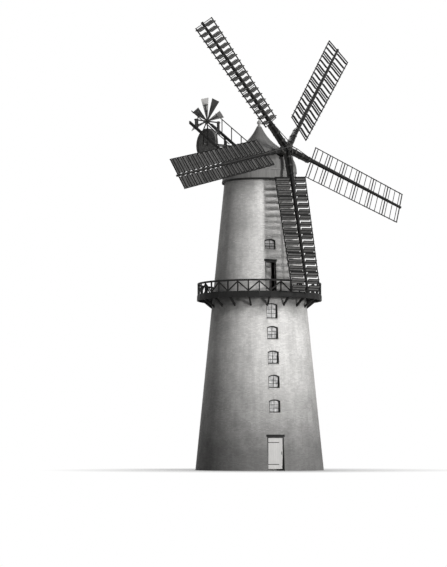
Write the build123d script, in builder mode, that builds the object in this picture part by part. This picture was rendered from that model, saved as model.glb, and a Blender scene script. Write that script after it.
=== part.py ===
from build123d import *
import os
from math import asin, atan, atan2, cos, degrees, radians, sin, sqrt, tan

os.makedirs("parts", exist_ok=True)

# A five-sailed brick tower mill with a stage, an ogee cap and a fantail.
# Millimetres. The origin is the middle of the tower on the ground, +Z is up,
# and the windshaft points along -Y and upwards.

# Tower, a battered round wall of many flats that thins towards its top
tower_sides = 72
tower_height = 19750
base_radius = 4390
top_radius = 2410
base_wall = 750
top_wall = 450
wall_quarters = (("front", -90), ("right", 0), ("back", 90), ("left", 180))
quarter_half = 45
front_angle = -114.2

# Openings, as bottom height and clear height, in one column in front and one behind
window_width = 780
window_rise = 110
frame_rise = 76
head_sides = 4
front_windows = ((3800, 950), (5450, 950), (7070, 960), (8740, 950), (10130, 1110), (14830, 800))
back_windows = ((3800, 950), (5450, 950), (7070, 960), (8740, 950), (14830, 800))
window_reveal = 170
window_frame_width = 80
window_frame_depth = 80
glass_thickness = 6
sill_height = 60
sill_projection = 50
stage_door_width = 780
stage_door_height = 2130
ground_door_width = 1150
ground_door_height = 2250
door_reveal = 120
door_frame_width = 70
door_frame_depth = 120
leaf_thickness = 45
ledge_height = 140
ledge_thickness = 30
ledge_count = 3
lintel_bearing = 60
lintel_height = 150
lintel_depth = 150
joint_gap = 0.4

# Floors of boards on two beams, by the height of their upper side
floor_levels = (4850, 8380, 11950, 15900)
floor_sides = 24
floor_boards = 50
floor_beam_width = 260
floor_beam_depth = 300
floor_beam_spacing = 2400
ground_floor_height = 120

# Stage round the tower
stage_level = 11950
stage_radius = 4300
stage_bays = 36
stage_first_post = -129.2
deck_thickness = 60
deck_joint = 4
rim_width = 100
rim_depth = 300
joist_width = 110
joist_depth = 200
strut_width = 90
strut_height = 170
strut_head_length = 230
strut_foot_level = 11050
strut_reach = 4080
post_size = 85
post_radius = 4220
rail_level = 12790
rail_width = 100
rail_depth = 120
bottom_rail_depth = 50
brace_height = 115
brace_thickness = 45

# Curb on the tower and the frame of the cap that turns on it
cap_sides = 20
curb_outer = 2390
curb_inner = 2050
curb_height = 230
pad_count = 10
pad_radius = 2200
pad_length = 220
pad_width = 140
pad_height = 60
pad_running_gap = 0.5
cap_ring_outer = 2500
cap_ring_inner = 2080
cap_ring_height = 260
skirt_thickness = 40
skirt_bottom = tower_height - 30
skirt_joint = 3
eaves_level = tower_height + 750

# Ogee roof, a convex sweep and then a hollow one up to a narrow neck
eaves_radius = 2600
shoulder_radius = 1860
shoulder_turn = 62
hollow_radius = 3240
hollow_turn = 37.7
roof_thickness = 75
roof_steps = 5
lining_steps = 3
neck_hole = 60
finial_shape = ((0, 165), (150, 80), (300, 150), (400, 150), (780, 12))
finial_sides = 8

# Timbers of the cap
sheer_spacing = 2000
sheer_width = 280
sheer_depth = 400
sheer_front = -2150
sheer_tail = 3000
slot_clearance = 3

# Windshaft, tilted up towards the sails
hub_position = (0, -3100, tower_height + 2100)
shaft_tilt = 14
shaft_sides = 8
nose_flats = 440
nose_length = 150
nose_back = 500
shaft_flats = 420
shaft_hole_radius = 330
shaft_hole_sides = 16
shaft_hole_depth = 1900
neck_position = -1750
neck_radius = 215
neck_length = 300
tail_position = 1200
tail_radius = 140
tail_length = 260
journal_clearance = 0.1
journal_shoulder = 10
neck_block = 300
tail_block = 260
weather_beam_length = 2400
weather_beam_depth = 400
tail_beam_bottom = tower_height + 430
tail_beam_depth = 360

# Iron cross and the sails it carries
sail_count = 5
first_sail_angle = -34
cross_front = -115
cross_thickness = 235
cross_hub_radius = 430
cross_arm_length = 2050
cross_arm_root = 300
cross_arm_tip = 200
rib_start = 350
rib_thickness = 50
rib_root_depth = 130
rib_tip_depth = 40
whip_start = 300
whip_tip = 10330
whip_root_width = 230
whip_tip_width = 130
whip_root_depth = 230
whip_tip_depth = 130
clamp_positions = (650, 1250, 1850)
clamp_length = 110
clamp_thickness = 22
sail_offset = -35
sail_heel = 2100
sail_bays = 6
bay_length = 1350
leading_width = 1000
trailing_width = 1220
heel_weather = 20
tip_weather = 8
bar_thickness = 50
bar_depth = 70
lath_width = 45
lath_depth = 75
lath_overhang = 40

# Shutters, three to a bay on each side, standing open
shutters_per_bay = 3
shutter_depth = 430
shutter_thickness = 22
shutter_opening = 55
shutter_clearance = 8
pivot_gap = 0.4

# Striking gear in front of the cross
spider_height = 400
spider_thickness = 30
spider_hub_radius = 110
spider_arm_length = 560
spider_arm_width = 60
striking_rod_radius = 38
link_size = 36
striking_rod_start = 2150
striking_rod_end = 10050

# Fantail behind the cap, carried on two long sloping spars
spar_spacing = 2000
spar_width = 130
spar_depth = 180
spar_reference = (3100, tower_height + 2650)
spar_slope = 33.7
spar_end = 6620
fan_post_size = 120
fan_post_position = 2840
fan_position = 5870
fan_height = tower_height + 5090
fan_radius = 1720
fan_blades_count = 8
first_blade_angle = -10
fan_hub_radius = 170
fan_hub_length = 240
fan_spindle_radius = 50
fan_spindle_length = 2300
blade_root_width = 90
blade_tip_width = 580
blade_thickness = 22
blade_pitch = 35
blade_seat_gap = 0.3
stock_size = 60
stock_reach = 1250
fan_bearing_width = 110
fan_bearing_length = 200
fan_bearing_cover = 85
step_count = 7
first_step = 2320
last_step = 3800
step_length = 200
step_thickness = 40
handrail_height = 1000
handrail_size = 60
stanchion_size = 50
stanchion_positions = (2250, 3350, 4450, 5550)
handrail_start = 1950
handrail_end = 6300

# Chain wheel under the fan, on its own axle
wheel_position = 5090
wheel_height = tower_height + 3280
wheel_radius = 1120
wheel_sides = 24
wheel_place = -620
wheel_web_thickness = 60
wheel_rim_width = 240
wheel_rim_depth = 110
wheel_hub_radius = 140
wheel_hub_length = 260
axle_radius = 40
axle_length = 2140
hanger_width = 170
hanger_thickness = 70
hanger_drop = 110


def outer_radius(height):
    return base_radius + (top_radius - base_radius) * height / tower_height


def inner_radius(height):
    wall = base_wall + (top_wall - base_wall) * height / tower_height
    return outer_radius(height) - wall


def radial_plane(angle):
    """An upright plane through the tower's axis: x points outwards and y up."""
    turn = radians(angle)
    return Plane(origin=(0, 0, 0), x_dir=(cos(turn), sin(turn), 0), z_dir=(sin(turn), -cos(turn), 0))


def facing_plane(angle, distance, height):
    """An upright plane that faces outwards: x points sideways and y up."""
    turn = radians(angle)
    return Plane(
        origin=(distance * cos(turn), distance * sin(turn), height),
        x_dir=(-sin(turn), cos(turn), 0),
        z_dir=(cos(turn), sin(turn), 0),
    )


def arched_face(width, height, rise):
    """An outline with upright sides and a segmental head of flats, standing on the middle of its foot."""
    half = width / 2
    head_radius = (half**2 + rise**2) / (2 * rise)
    head_turn = asin(half / head_radius)
    head = []
    for step in range(head_sides + 1):
        turn = head_turn * (1 - 2 * step / head_sides)
        head.append((head_radius * sin(turn), height - head_radius * (1 - cos(turn))))
    with BuildSketch() as face:
        with BuildLine():
            Polyline((-half, 0), (half, 0), *head, close=True)
        make_face()
    return face.sketch


def standing_face(width, height):
    """A rectangle that stands on the middle of its foot."""
    with BuildSketch() as face:
        Rectangle(width, height, align=(Align.CENTER, Align.MIN))
    return face.sketch


def ring_of_bays(inner, outer, low, high, sides, joint, start=0):
    """Adds one straight piece to each side of a polygon, by the distance of its faces from the axis."""
    half = radians(180 / sides)
    trim = joint / 2 / cos(half)
    near = inner * tan(half) - trim
    far = outer * tan(half) - trim
    with BuildSketch(Plane.XY.offset(low)) as outline:
        with PolarLocations(0, sides, start_angle=start):
            Polygon((inner, -near), (outer, -far), (outer, far), (inner, near), align=None)
    extrude(outline.sketch, amount=high - low)


def bar(start, end, width, depth, side=(1, 0, 0)):
    """Adds a square-ended bar from start to end, with its width along side."""
    start = Vector(start)
    run = Vector(end) - start
    with BuildSketch(Plane(origin=start, x_dir=side, z_dir=run)) as section:
        Rectangle(width, depth)
    extrude(section.sketch, amount=run.length)


def upright_slice(points, middle, thickness):
    """Adds a plate outlined in Y and Z that stands at a place along X."""
    with BuildSketch(Plane.YZ.offset(middle - thickness / 2)) as outline:
        with BuildLine():
            Polyline(*points, close=True)
        make_face()
    extrude(outline.sketch, amount=thickness)


def save(piece, name):
    piece.part.label = name
    export_step(piece.part, f"parts/{name}.step")


# Places in the tower wall
back_angle = front_angle + 180


def opening_columns():
    """Every opening as the angle of its column, bottom, height and outline."""
    found = []
    for angle, windows in ((front_angle, front_windows), (back_angle, back_windows)):
        for low, height in windows:
            found.append((angle, low, height, arched_face(window_width, height, window_rise)))
        stage_doorway = standing_face(stage_door_width, stage_door_height)
        found.append((angle, stage_level, stage_door_height, stage_doorway))
        ground_doorway = standing_face(ground_door_width, ground_door_height)
        found.append((angle, 0, ground_door_height, ground_doorway))
    return found


openings = opening_columns()

tower_half = radians(180 / tower_sides)
doorways = (
    (stage_level, stage_door_width, stage_door_height),
    (ground_floor_height, ground_door_width, ground_door_height - ground_floor_height),
)


def tapered_prism(low, high, height, sides, turn=0, mode=Mode.ADD):
    """Adds or cuts a prism on the ground whose corner radius goes from low to high."""
    with BuildSketch(Plane.XY) as foot:
        RegularPolygon(low, sides, rotation=turn)
    lean = atan((low - high) * cos(radians(180 / sides)) / height)
    extrude(foot.sketch, amount=height, taper=degrees(lean), mode=mode)


def lintel_front(low, width, height):
    """How far the flat front of a lintel stands from the axis, with its ends flush with the wall."""
    surface = outer_radius(low + height + lintel_height)
    return sqrt(surface**2 - (width / 2 + lintel_bearing) ** 2)


# Tower wall: a tapered shell cut into four quarters
with BuildPart() as tower_shell:
    tapered_prism(base_radius, top_radius, tower_height, tower_sides, front_angle)
    tapered_prism(
        inner_radius(0),
        inner_radius(tower_height),
        tower_height,
        tower_sides,
        front_angle,
        Mode.SUBTRACT,
    )

for quarter, middle in wall_quarters:
    with BuildPart() as wall:
        add(tower_shell.part)
        with BuildSketch(Plane.XY):
            with Locations(Location((0, 0, 0), (0, 0, middle))):
                Polygon((0, 0), (base_radius, -base_radius), (base_radius, base_radius), align=None)
        extrude(amount=tower_height, mode=Mode.INTERSECT)
        for angle, low, height, outline in openings:
            if abs(angle - middle) < quarter_half:
                with BuildSketch(facing_plane(angle, 0, low)):
                    add(outline)
                extrude(amount=base_radius, mode=Mode.SUBTRACT)
        for angle in (front_angle, back_angle):
            if abs(angle - middle) < quarter_half:
                for low, width, height in doorways:
                    lintel_back = lintel_front(low, width, height) - lintel_depth
                    with BuildSketch(facing_plane(angle, lintel_back, low + height)):
                        add(standing_face(width + 2 * lintel_bearing, lintel_height))
                    extrude(amount=base_radius, mode=Mode.SUBTRACT)
    save(wall, f"tower_wall_{quarter}")

# Floors of boards on two beams, and the flagged ground floor
with BuildPart() as floors:
    with BuildSketch(Plane.XY):
        RegularPolygon(inner_radius(ground_floor_height) - joint_gap, floor_sides, rotation=front_angle)
    extrude(amount=ground_floor_height)
    for level in floor_levels:
        with BuildSketch(Plane.XY.offset(level - floor_boards)):
            RegularPolygon(inner_radius(level) - joint_gap, floor_sides, rotation=front_angle)
        extrude(amount=floor_boards)
        beam_edge = floor_beam_spacing / 2 + floor_beam_width / 2
        beam_reach = sqrt((inner_radius(level) * cos(tower_half)) ** 2 - beam_edge**2) - joint_gap
        with BuildSketch(Plane.XY.offset(level - floor_boards)):
            with Locations(Location((0, 0, 0), (0, 0, front_angle))):
                with GridLocations(0, floor_beam_spacing, 1, 2):
                    Rectangle(2 * beam_reach, floor_beam_width)
        extrude(amount=-floor_beam_depth)
save(floors, "tower_floors")

# Window frames, glass and sills
window_inner_width = window_width - 2 * window_frame_width
columns = ((front_angle, front_windows), (back_angle, back_windows))
with BuildPart() as window_frames:
    for angle, windows in columns:
        for low, height in windows:
            face_distance = outer_radius(low + height / 2) - window_reveal
            frame_height = height - sill_height
            with BuildSketch(facing_plane(angle, face_distance, low + sill_height)):
                add(arched_face(window_width - joint_gap, frame_height - joint_gap / 2, window_rise))
                with Locations((0, window_frame_width)):
                    add(
                        arched_face(
                            window_inner_width, frame_height - 2 * window_frame_width, frame_rise
                        ),
                        mode=Mode.SUBTRACT,
                    )
            extrude(amount=-window_frame_depth)
save(window_frames, "window_frames")

with BuildPart() as window_glass:
    for angle, windows in columns:
        for low, height in windows:
            face_distance = outer_radius(low + height / 2) - window_reveal - window_frame_depth / 2
            pane_height = height - sill_height - 2 * window_frame_width
            with BuildSketch(facing_plane(angle, face_distance, low + sill_height + window_frame_width)):
                with Locations((0, joint_gap / 2)):
                    pane_width = window_inner_width - joint_gap
                    add(arched_face(pane_width, pane_height - joint_gap, frame_rise))
            extrude(amount=-glass_thickness)
save(window_glass, "window_glass")

with BuildPart() as window_sills:
    for angle, windows in columns:
        for low, height in windows:
            sill_back = outer_radius(low + height / 2) - window_reveal - window_frame_depth
            sill_front = outer_radius(low) + sill_projection
            with BuildSketch(facing_plane(angle, sill_back, low)):
                add(standing_face(window_width - joint_gap, sill_height))
            extrude(amount=sill_front - sill_back)
save(window_sills, "window_sills")

# Door frames, timber lintels and ledged doors, closed in their frames
with BuildPart() as door_frames:
    for angle in (front_angle, back_angle):
        for low, width, height in doorways:
            face_distance = outer_radius(low + height / 2) - door_reveal
            with BuildSketch(facing_plane(angle, face_distance, low)):
                add(standing_face(width - joint_gap, height - joint_gap / 2))
                inner_width = width - 2 * door_frame_width
                add(standing_face(inner_width, height - door_frame_width), mode=Mode.SUBTRACT)
            extrude(amount=-door_frame_depth)
save(door_frames, "door_frames")

with BuildPart() as door_lintels:
    for angle in (front_angle, back_angle):
        for low, width, height in doorways:
            face_distance = lintel_front(low, width, height)
            with BuildSketch(facing_plane(angle, face_distance, low + height + joint_gap / 2)):
                add(standing_face(width + 2 * lintel_bearing - joint_gap, lintel_height - joint_gap))
            extrude(amount=joint_gap - lintel_depth)
save(door_lintels, "door_lintels")

with BuildPart() as doors:
    for angle in (front_angle, back_angle):
        for low, width, height in doorways:
            face_distance = outer_radius(low + height / 2) - door_reveal - leaf_thickness
            leaf_width = width - 2 * door_frame_width - joint_gap
            leaf_height = height - door_frame_width - joint_gap
            with BuildSketch(facing_plane(angle, face_distance, low + joint_gap / 2)):
                add(standing_face(leaf_width, leaf_height))
            extrude(amount=-leaf_thickness)
            with BuildSketch(facing_plane(angle, face_distance - leaf_thickness, low + leaf_height / 2)):
                with GridLocations(0, leaf_height / 2 - ledge_height, 1, ledge_count):
                    Rectangle(leaf_width - ledge_height, ledge_height)
            extrude(amount=-ledge_thickness)
save(doors, "doors")

# Stage deck, one board bay to each side of the polygon
stage_half = radians(180 / stage_bays)
bay_middle = stage_first_post + 180 / stage_bays
deck_outer = stage_radius * cos(stage_half)
deck_bottom = stage_level - deck_thickness
rim_bottom = deck_bottom - rim_depth
deck_inner = outer_radius(deck_bottom) + joint_gap
rim_inner = deck_outer - rim_width
joist_bottom = deck_bottom - joist_depth
with BuildPart() as stage_deck:
    ring_of_bays(deck_inner, deck_outer, deck_bottom, stage_level, stage_bays, deck_joint, bay_middle)
save(stage_deck, "stage_deck")

with BuildPart() as stage_rim:
    ring_of_bays(rim_inner, deck_outer, rim_bottom, deck_bottom, stage_bays, deck_joint, bay_middle)
save(stage_rim, "stage_rim")

# Joists stand under every second post, and a strut props each of them off the wall
bracket_count = stage_bays // 2
first_bracket = stage_first_post + 360 / stage_bays
joist_start = outer_radius(joist_bottom) + joint_gap
joist_end = rim_inner / cos(stage_half) - joist_width / 2 * tan(stage_half) - joint_gap
with BuildPart() as stage_joists:
    with BuildSketch(Plane.XY.offset(joist_bottom)):
        with PolarLocations(0, bracket_count, start_angle=first_bracket):
            with Locations(((joist_start + joist_end) / 2, 0)):
                Rectangle(joist_end - joist_start, joist_width)
    extrude(amount=joist_depth)
save(stage_joists, "stage_joists")

with BuildPart() as one_strut:
    strut_foot = outer_radius(strut_foot_level) + joint_gap
    with BuildSketch(radial_plane(0)):
        with BuildLine():
            Polyline(
                (strut_foot, strut_foot_level),
                (strut_reach, joist_bottom),
                (strut_reach - strut_head_length, joist_bottom),
                (strut_foot, strut_foot_level + strut_height),
                close=True,
            )
        make_face()
    extrude(amount=strut_width / 2, both=True)
with BuildPart() as stage_struts:
    with PolarLocations(0, bracket_count, start_angle=first_bracket):
        add(one_strut.part)
save(stage_struts, "stage_struts")

# Railing: bottom rail on the deck, posts, top rail and a zigzag of braces
post_bottom = stage_level + bottom_rail_depth
post_top = rail_level - rail_depth
rail_middle = post_radius * cos(stage_half)
rail_inner = rail_middle - rail_width / 2
rail_outer = rail_middle + rail_width / 2
with BuildPart() as stage_bottom_rail:
    ring_of_bays(rail_inner, rail_outer, stage_level, post_bottom, stage_bays, deck_joint, bay_middle)
save(stage_bottom_rail, "stage_bottom_rail")

with BuildPart() as stage_top_rail:
    ring_of_bays(rail_inner, rail_outer, post_top, rail_level, stage_bays, deck_joint, bay_middle)
save(stage_top_rail, "stage_top_rail")

with BuildPart() as stage_posts:
    with BuildSketch(Plane.XY.offset(post_bottom)):
        with PolarLocations(post_radius, stage_bays, start_angle=stage_first_post):
            Rectangle(post_size, post_size)
    extrude(amount=post_top - post_bottom)
save(stage_posts, "stage_posts")

post_side = post_radius * sin(stage_half) - post_size / 2 / cos(stage_half)
brace_side = post_side - brace_thickness / 2 * tan(stage_half) - joint_gap
with BuildPart() as stage_braces:
    for number in range(stage_bays):
        lean = 1 if number % 2 else -1
        bay_angle = bay_middle + number * 360 / stage_bays
        with BuildSketch(facing_plane(bay_angle, rail_middle - brace_thickness / 2, 0)):
            with BuildLine():
                Polyline(
                    (-lean * brace_side, post_bottom),
                    (-lean * brace_side, post_bottom + brace_height),
                    (lean * brace_side, post_top),
                    (lean * brace_side, post_top - brace_height),
                    close=True,
                )
            make_face()
        extrude(amount=brace_thickness)
save(stage_braces, "stage_braces")

# Timber curb on the wall, where the cap turns
cap_half = radians(180 / cap_sides)
curb_top = tower_height + curb_height
with BuildPart() as tower_curb:
    with BuildSketch(Plane.XY.offset(tower_height)):
        RegularPolygon(curb_outer, cap_sides)
        Circle(curb_inner, mode=Mode.SUBTRACT)
    extrude(amount=curb_height)
save(tower_curb, "tower_curb")

# Ring of the cap, with the pads that slide on the curb
ring_bottom = curb_top + pad_running_gap + pad_height
ring_top = ring_bottom + cap_ring_height
polygon_turn = 180 / cap_sides
with BuildPart() as cap_ring:
    with BuildSketch(Plane.XY.offset(ring_bottom)):
        RegularPolygon(cap_ring_outer, cap_sides, False, rotation=polygon_turn)
        RegularPolygon(cap_ring_inner, cap_sides, False, rotation=polygon_turn, mode=Mode.SUBTRACT)
    extrude(amount=cap_ring_height)
    with BuildSketch(Plane.XY.offset(ring_bottom)):
        with PolarLocations(pad_radius, pad_count):
            Rectangle(pad_width, pad_length)
    extrude(amount=-pad_height)
save(cap_ring, "cap_ring")

# Sheers, the two long timbers that carry everything in the cap
sheer_bottom = ring_top
sheer_top = sheer_bottom + sheer_depth
sheer_length = sheer_tail - sheer_front
sheer_middle = (sheer_tail + sheer_front) / 2
with BuildPart() as sheers:
    with BuildSketch(Plane.XY.offset(sheer_bottom)):
        with Locations((0, sheer_middle)):
            with GridLocations(sheer_spacing, 0, 2, 1):
                Rectangle(sheer_width, sheer_length)
    extrude(amount=sheer_depth)
save(sheers, "cap_sheers")

# Spar line, from its reference point and slope
spar_rise = tan(radians(spar_slope))
spar_half = spar_depth / 2 / cos(radians(spar_slope))


def spar_line(place):
    """Height of the spar's middle line at a place along Y."""
    return spar_reference[1] + (place - spar_reference[0]) * spar_rise


spar_foot = spar_reference[0] + (sheer_top + spar_half - spar_reference[1]) / spar_rise
spar_low_corner = spar_reference[0] + (sheer_top - spar_half - spar_reference[1]) / spar_rise
spar_outline = (
    (spar_low_corner, sheer_top),
    (spar_foot, sheer_top),
    (spar_end, spar_line(spar_end) - spar_half),
    (spar_end, spar_line(spar_end) + spar_half),
)
spar_places = (-spar_spacing / 2, spar_spacing / 2)

# Skirt of upright boards below the eaves, notched round the sheers
skirt_outer = cap_ring_outer + skirt_thickness
with BuildPart() as cap_skirt:
    ring_of_bays(cap_ring_outer, skirt_outer, skirt_bottom, eaves_level, cap_sides, skirt_joint)
    with BuildSketch(Plane.XY.offset(sheer_bottom - slot_clearance)):
        with Locations((0, sheer_tail / 2)):
            with GridLocations(sheer_spacing, 0, 2, 1):
                Rectangle(sheer_width + 2 * slot_clearance, sheer_tail)
    extrude(amount=sheer_depth, mode=Mode.SUBTRACT)
save(cap_skirt, "cap_skirt")

# Roof: one gore of the ogee, repeated round the axis
shoulder_centre = (eaves_radius - shoulder_radius, eaves_level)


def shoulder_point(turn, inset=0):
    reach = shoulder_radius - inset
    return (
        shoulder_centre[0] + reach * cos(radians(turn)),
        shoulder_centre[1] + reach * sin(radians(turn)),
    )


bend = shoulder_point(shoulder_turn)
hollow_centre = (
    bend[0] + hollow_radius * cos(radians(shoulder_turn)),
    bend[1] + hollow_radius * sin(radians(shoulder_turn)),
)


def hollow_point(turn, inset=0):
    direction = radians(shoulder_turn - turn)
    reach = hollow_radius + inset
    return (hollow_centre[0] - reach * cos(direction), hollow_centre[1] - reach * sin(direction))


neck = hollow_point(hollow_turn)
roof_outside = [shoulder_point(shoulder_turn * step / roof_steps) for step in range(roof_steps + 1)]
roof_outside += [hollow_point(hollow_turn * step / roof_steps) for step in range(1, roof_steps + 1)]
lining_turns = [step / lining_steps for step in range(1, lining_steps + 1)]
roof_inside = [shoulder_point(shoulder_turn * share, roof_thickness) for share in lining_turns]
roof_inside += [hollow_point(hollow_turn * share, roof_thickness) for share in lining_turns[:-1]]
roof_ceiling = roof_inside[-1][1]
with BuildPart() as gore:
    with BuildSketch(radial_plane(0)):
        with BuildLine():
            Polyline(
                *roof_outside,
                (neck_hole, neck[1]),
                (neck_hole, roof_ceiling),
                *reversed(roof_inside),
                (cap_ring_outer, eaves_level),
                close=True,
            )
        make_face()
    extrude(amount=eaves_radius * tan(cap_half), both=True)
    with BuildSketch(Plane.XY.offset(eaves_level)):
        wedge_edge = eaves_radius * tan(cap_half)
        Polygon((0, 0), (eaves_radius, -wedge_edge), (eaves_radius, wedge_edge), align=None)
    extrude(amount=neck[1] - eaves_level, mode=Mode.INTERSECT)

shaft_rise = radians(shaft_tilt)
shaft_plane = Plane(
    origin=hub_position,
    x_dir=(0, sin(shaft_rise), cos(shaft_rise)),
    z_dir=(0, -cos(shaft_rise), sin(shaft_rise)),
)
with BuildPart() as cap_roof:
    with PolarLocations(0, cap_sides):
        add(gore.part)
    with BuildSketch(shaft_plane):
        RegularPolygon(shaft_hole_radius, shaft_hole_sides)
    extrude(amount=-shaft_hole_depth, mode=Mode.SUBTRACT)
    for place in spar_places:
        with BuildSketch(Plane.YZ.offset(place - spar_width / 2 - slot_clearance)) as slot:
            with BuildLine():
                Polyline(*spar_outline, close=True)
            make_face()
            offset(amount=slot_clearance, kind=Kind.INTERSECTION)
        extrude(slot.sketch, amount=spar_width + 2 * slot_clearance, mode=Mode.SUBTRACT)
    with BuildSketch(Plane.XY.offset(sheer_bottom - slot_clearance)):
        with Locations((0, sheer_tail / 2)):
            with GridLocations(sheer_spacing, 0, 2, 1):
                Rectangle(sheer_width + 2 * slot_clearance, sheer_tail)
    extrude(amount=sheer_depth + 2 * slot_clearance, mode=Mode.SUBTRACT)
save(cap_roof, "cap_roof")

# Finial on the neck of the roof, each length drawn from its wider end
with BuildPart() as cap_finial:
    for ends in zip(finial_shape, finial_shape[1:]):
        (wide_rise, wide), (slim_rise, slim) = sorted(ends, key=lambda end: -end[1])
        with BuildSketch(Plane.XY.offset(neck[1] + wide_rise)):
            RegularPolygon(wide, finial_sides)
        lean = atan2((wide - slim) * cos(radians(180 / finial_sides)), abs(slim_rise - wide_rise))
        extrude(amount=slim_rise - wide_rise, taper=degrees(lean))
save(cap_finial, "cap_finial")

# Beams under the two bearings of the windshaft, and the bearings


def shaft_height(place):
    """Height of the windshaft's axis at a place along Y."""
    return hub_position[2] - (place - hub_position[1]) * tan(shaft_rise)


def beam_outline(place, depth, block, bottom):
    front = place - depth / 2
    back = place + depth / 2
    drop = block / cos(shaft_rise)
    return (
        (front, bottom),
        (back, bottom),
        (back, shaft_height(back) - drop),
        (front, shaft_height(front) - drop),
    )


with BuildPart() as cap_beams:
    weather_beam = beam_outline(neck_position, weather_beam_depth, neck_block, sheer_top)
    upright_slice(weather_beam, 0, weather_beam_length)
    tail_beam = beam_outline(tail_position, tail_beam_depth, tail_block, tail_beam_bottom)
    upright_slice(tail_beam, 0, sheer_spacing - sheer_width)
save(cap_beams, "cap_beams")

neck_distance = (neck_position - hub_position[1]) / cos(shaft_rise)
tail_distance = (tail_position - hub_position[1]) / cos(shaft_rise)
with BuildPart() as shaft_bearings:
    for distance, block, length, radius in (
        (neck_distance, neck_block, neck_length, neck_radius),
        (tail_distance, tail_block, tail_length, tail_radius),
    ):
        with BuildSketch(shaft_plane.offset(-distance)) as block_outline:
            Rectangle(2 * block, 2 * block)
            Circle(radius + journal_clearance, mode=Mode.SUBTRACT)
        extrude(block_outline.sketch, amount=length / 2 - journal_shoulder, both=True)
save(shaft_bearings, "shaft_bearings")

# Windshaft with its round journals and eight-sided body
neck_front = -(neck_distance - neck_length / 2)
neck_back = -(neck_distance + neck_length / 2)
tail_front = -(tail_distance - tail_length / 2)
tail_back = -(tail_distance + tail_length / 2)
with BuildPart() as windshaft:
    with BuildSketch(shaft_plane.offset(-nose_back)):
        RegularPolygon(nose_flats / 2, shaft_sides, major_radius=False)
    extrude(amount=nose_back + nose_length)
    for front, back in ((-nose_back, neck_front), (neck_back, tail_front)):
        with BuildSketch(shaft_plane.offset(back)):
            RegularPolygon(shaft_flats / 2, shaft_sides, major_radius=False)
        extrude(amount=front - back)
    with BuildSketch(shaft_plane.offset(neck_back)):
        Circle(neck_radius)
    extrude(amount=neck_length)
    with BuildSketch(shaft_plane.offset(tail_back)):
        Circle(tail_radius)
    extrude(amount=tail_length)
save(windshaft, "windshaft")


def sail_location(number):
    """The place of one sail: x runs out along its whip, y to its leading edge, z forwards."""
    turn = first_sail_angle + number * 360 / sail_count
    return shaft_plane.location * Location((0, 0, 0), (0, 0, -turn))


# Iron cross that the whips are strapped to, with a rib down the back of each arm
cross_back = cross_front - cross_thickness
with BuildPart() as sail_cross:
    with BuildSketch(shaft_plane.offset(cross_back)):
        RegularPolygon(cross_hub_radius, 2 * sail_count, rotation=180 / sail_count - first_sail_angle)
        with PolarLocations(0, sail_count, start_angle=-first_sail_angle):
            Polygon(
                (0, -cross_arm_root / 2),
                (cross_arm_length, -cross_arm_tip / 2),
                (cross_arm_length, cross_arm_tip / 2),
                (0, cross_arm_root / 2),
                align=None,
            )
        hub_hole = (nose_flats + joint_gap) / 2
        RegularPolygon(hub_hole, shaft_sides, major_radius=False, mode=Mode.SUBTRACT)
    extrude(amount=cross_thickness)
    for number in range(sail_count):
        turn = first_sail_angle + number * 360 / sail_count
        arm = shaft_plane.location * Location((0, 0, 0), (0, 0, -turn)) * Location((0, 0, 0), (90, 0, 0))
        with BuildSketch(Plane(arm)) as rib:
            Polygon(
                (rib_start, cross_back),
                (cross_arm_length, cross_back),
                (cross_arm_length, cross_back - rib_tip_depth),
                (rib_start, cross_back - rib_root_depth),
                align=None,
            )
        extrude(rib.sketch, amount=rib_thickness / 2, both=True)
save(sail_cross, "sail_cross")

# One sail in its own plane, along X


def whip_width(reach):
    share = (reach - whip_start) / (whip_tip - whip_start)
    return whip_root_width + (whip_tip_width - whip_root_width) * share


def whip_front(reach):
    share = (reach - whip_start) / (whip_tip - whip_start)
    return cross_front + whip_root_depth + (whip_tip_depth - whip_root_depth) * share


def weather(reach):
    """Angle of the sail's surface to the plane of the cross."""
    share = (reach - sail_heel) / (sail_bays * bay_length)
    return heel_weather + (tip_weather - heel_weather) * share


def section_plane(reach, turn=0):
    """A plane across the whip: x towards the leading edge and y forwards, both turned by the weather."""
    flat = Plane(origin=(reach, 0, sail_offset), x_dir=(0, 1, 0), z_dir=(1, 0, 0))
    return flat.rotated((turn, 0, 0))


bar_places = [sail_heel + number * bay_length for number in range(sail_bays + 1)]
bar_leading = leading_width - lath_width - joint_gap
bar_trailing = trailing_width - lath_width - joint_gap

with BuildPart() as one_set_of_bars:
    for reach in bar_places:
        with BuildSketch(section_plane(reach, weather(reach))) as bar_section:
            with Locations(((bar_leading - bar_trailing) / 2, 0)):
                Rectangle(bar_leading + bar_trailing, bar_depth)
        extrude(bar_section.sketch, amount=bar_thickness / 2, both=True)

with BuildPart() as one_whip:
    with BuildSketch(Plane.XY.offset(cross_front)):
        Polygon(
            (whip_start, -whip_root_width / 2),
            (whip_tip, -whip_tip_width / 2),
            (whip_tip, whip_tip_width / 2),
            (whip_start, whip_root_width / 2),
            align=None,
        )
    extrude(amount=whip_root_depth)
    with BuildSketch(Plane.XZ):
        Polygon(
            (whip_start, cross_front),
            (whip_tip, cross_front),
            (whip_tip, whip_front(whip_tip)),
            (whip_start, whip_front(whip_start)),
            align=None,
        )
    extrude(amount=whip_root_width, both=True, mode=Mode.INTERSECT)
    add(one_set_of_bars.part, mode=Mode.SUBTRACT)

lath_places = [bar_places[0] - lath_overhang] + bar_places[1:-1] + [bar_places[-1] + lath_overhang]
with BuildPart() as one_pair_of_laths:
    for edge in (leading_width - lath_width / 2, -trailing_width + lath_width / 2):
        sections = []
        for reach in lath_places:
            with BuildSketch(section_plane(reach, weather(reach))) as lath_section:
                with Locations((edge, 0)):
                    Rectangle(lath_width, lath_depth)
            sections.append(lath_section.sketch.face())
        loft(sections, ruled=True)

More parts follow.
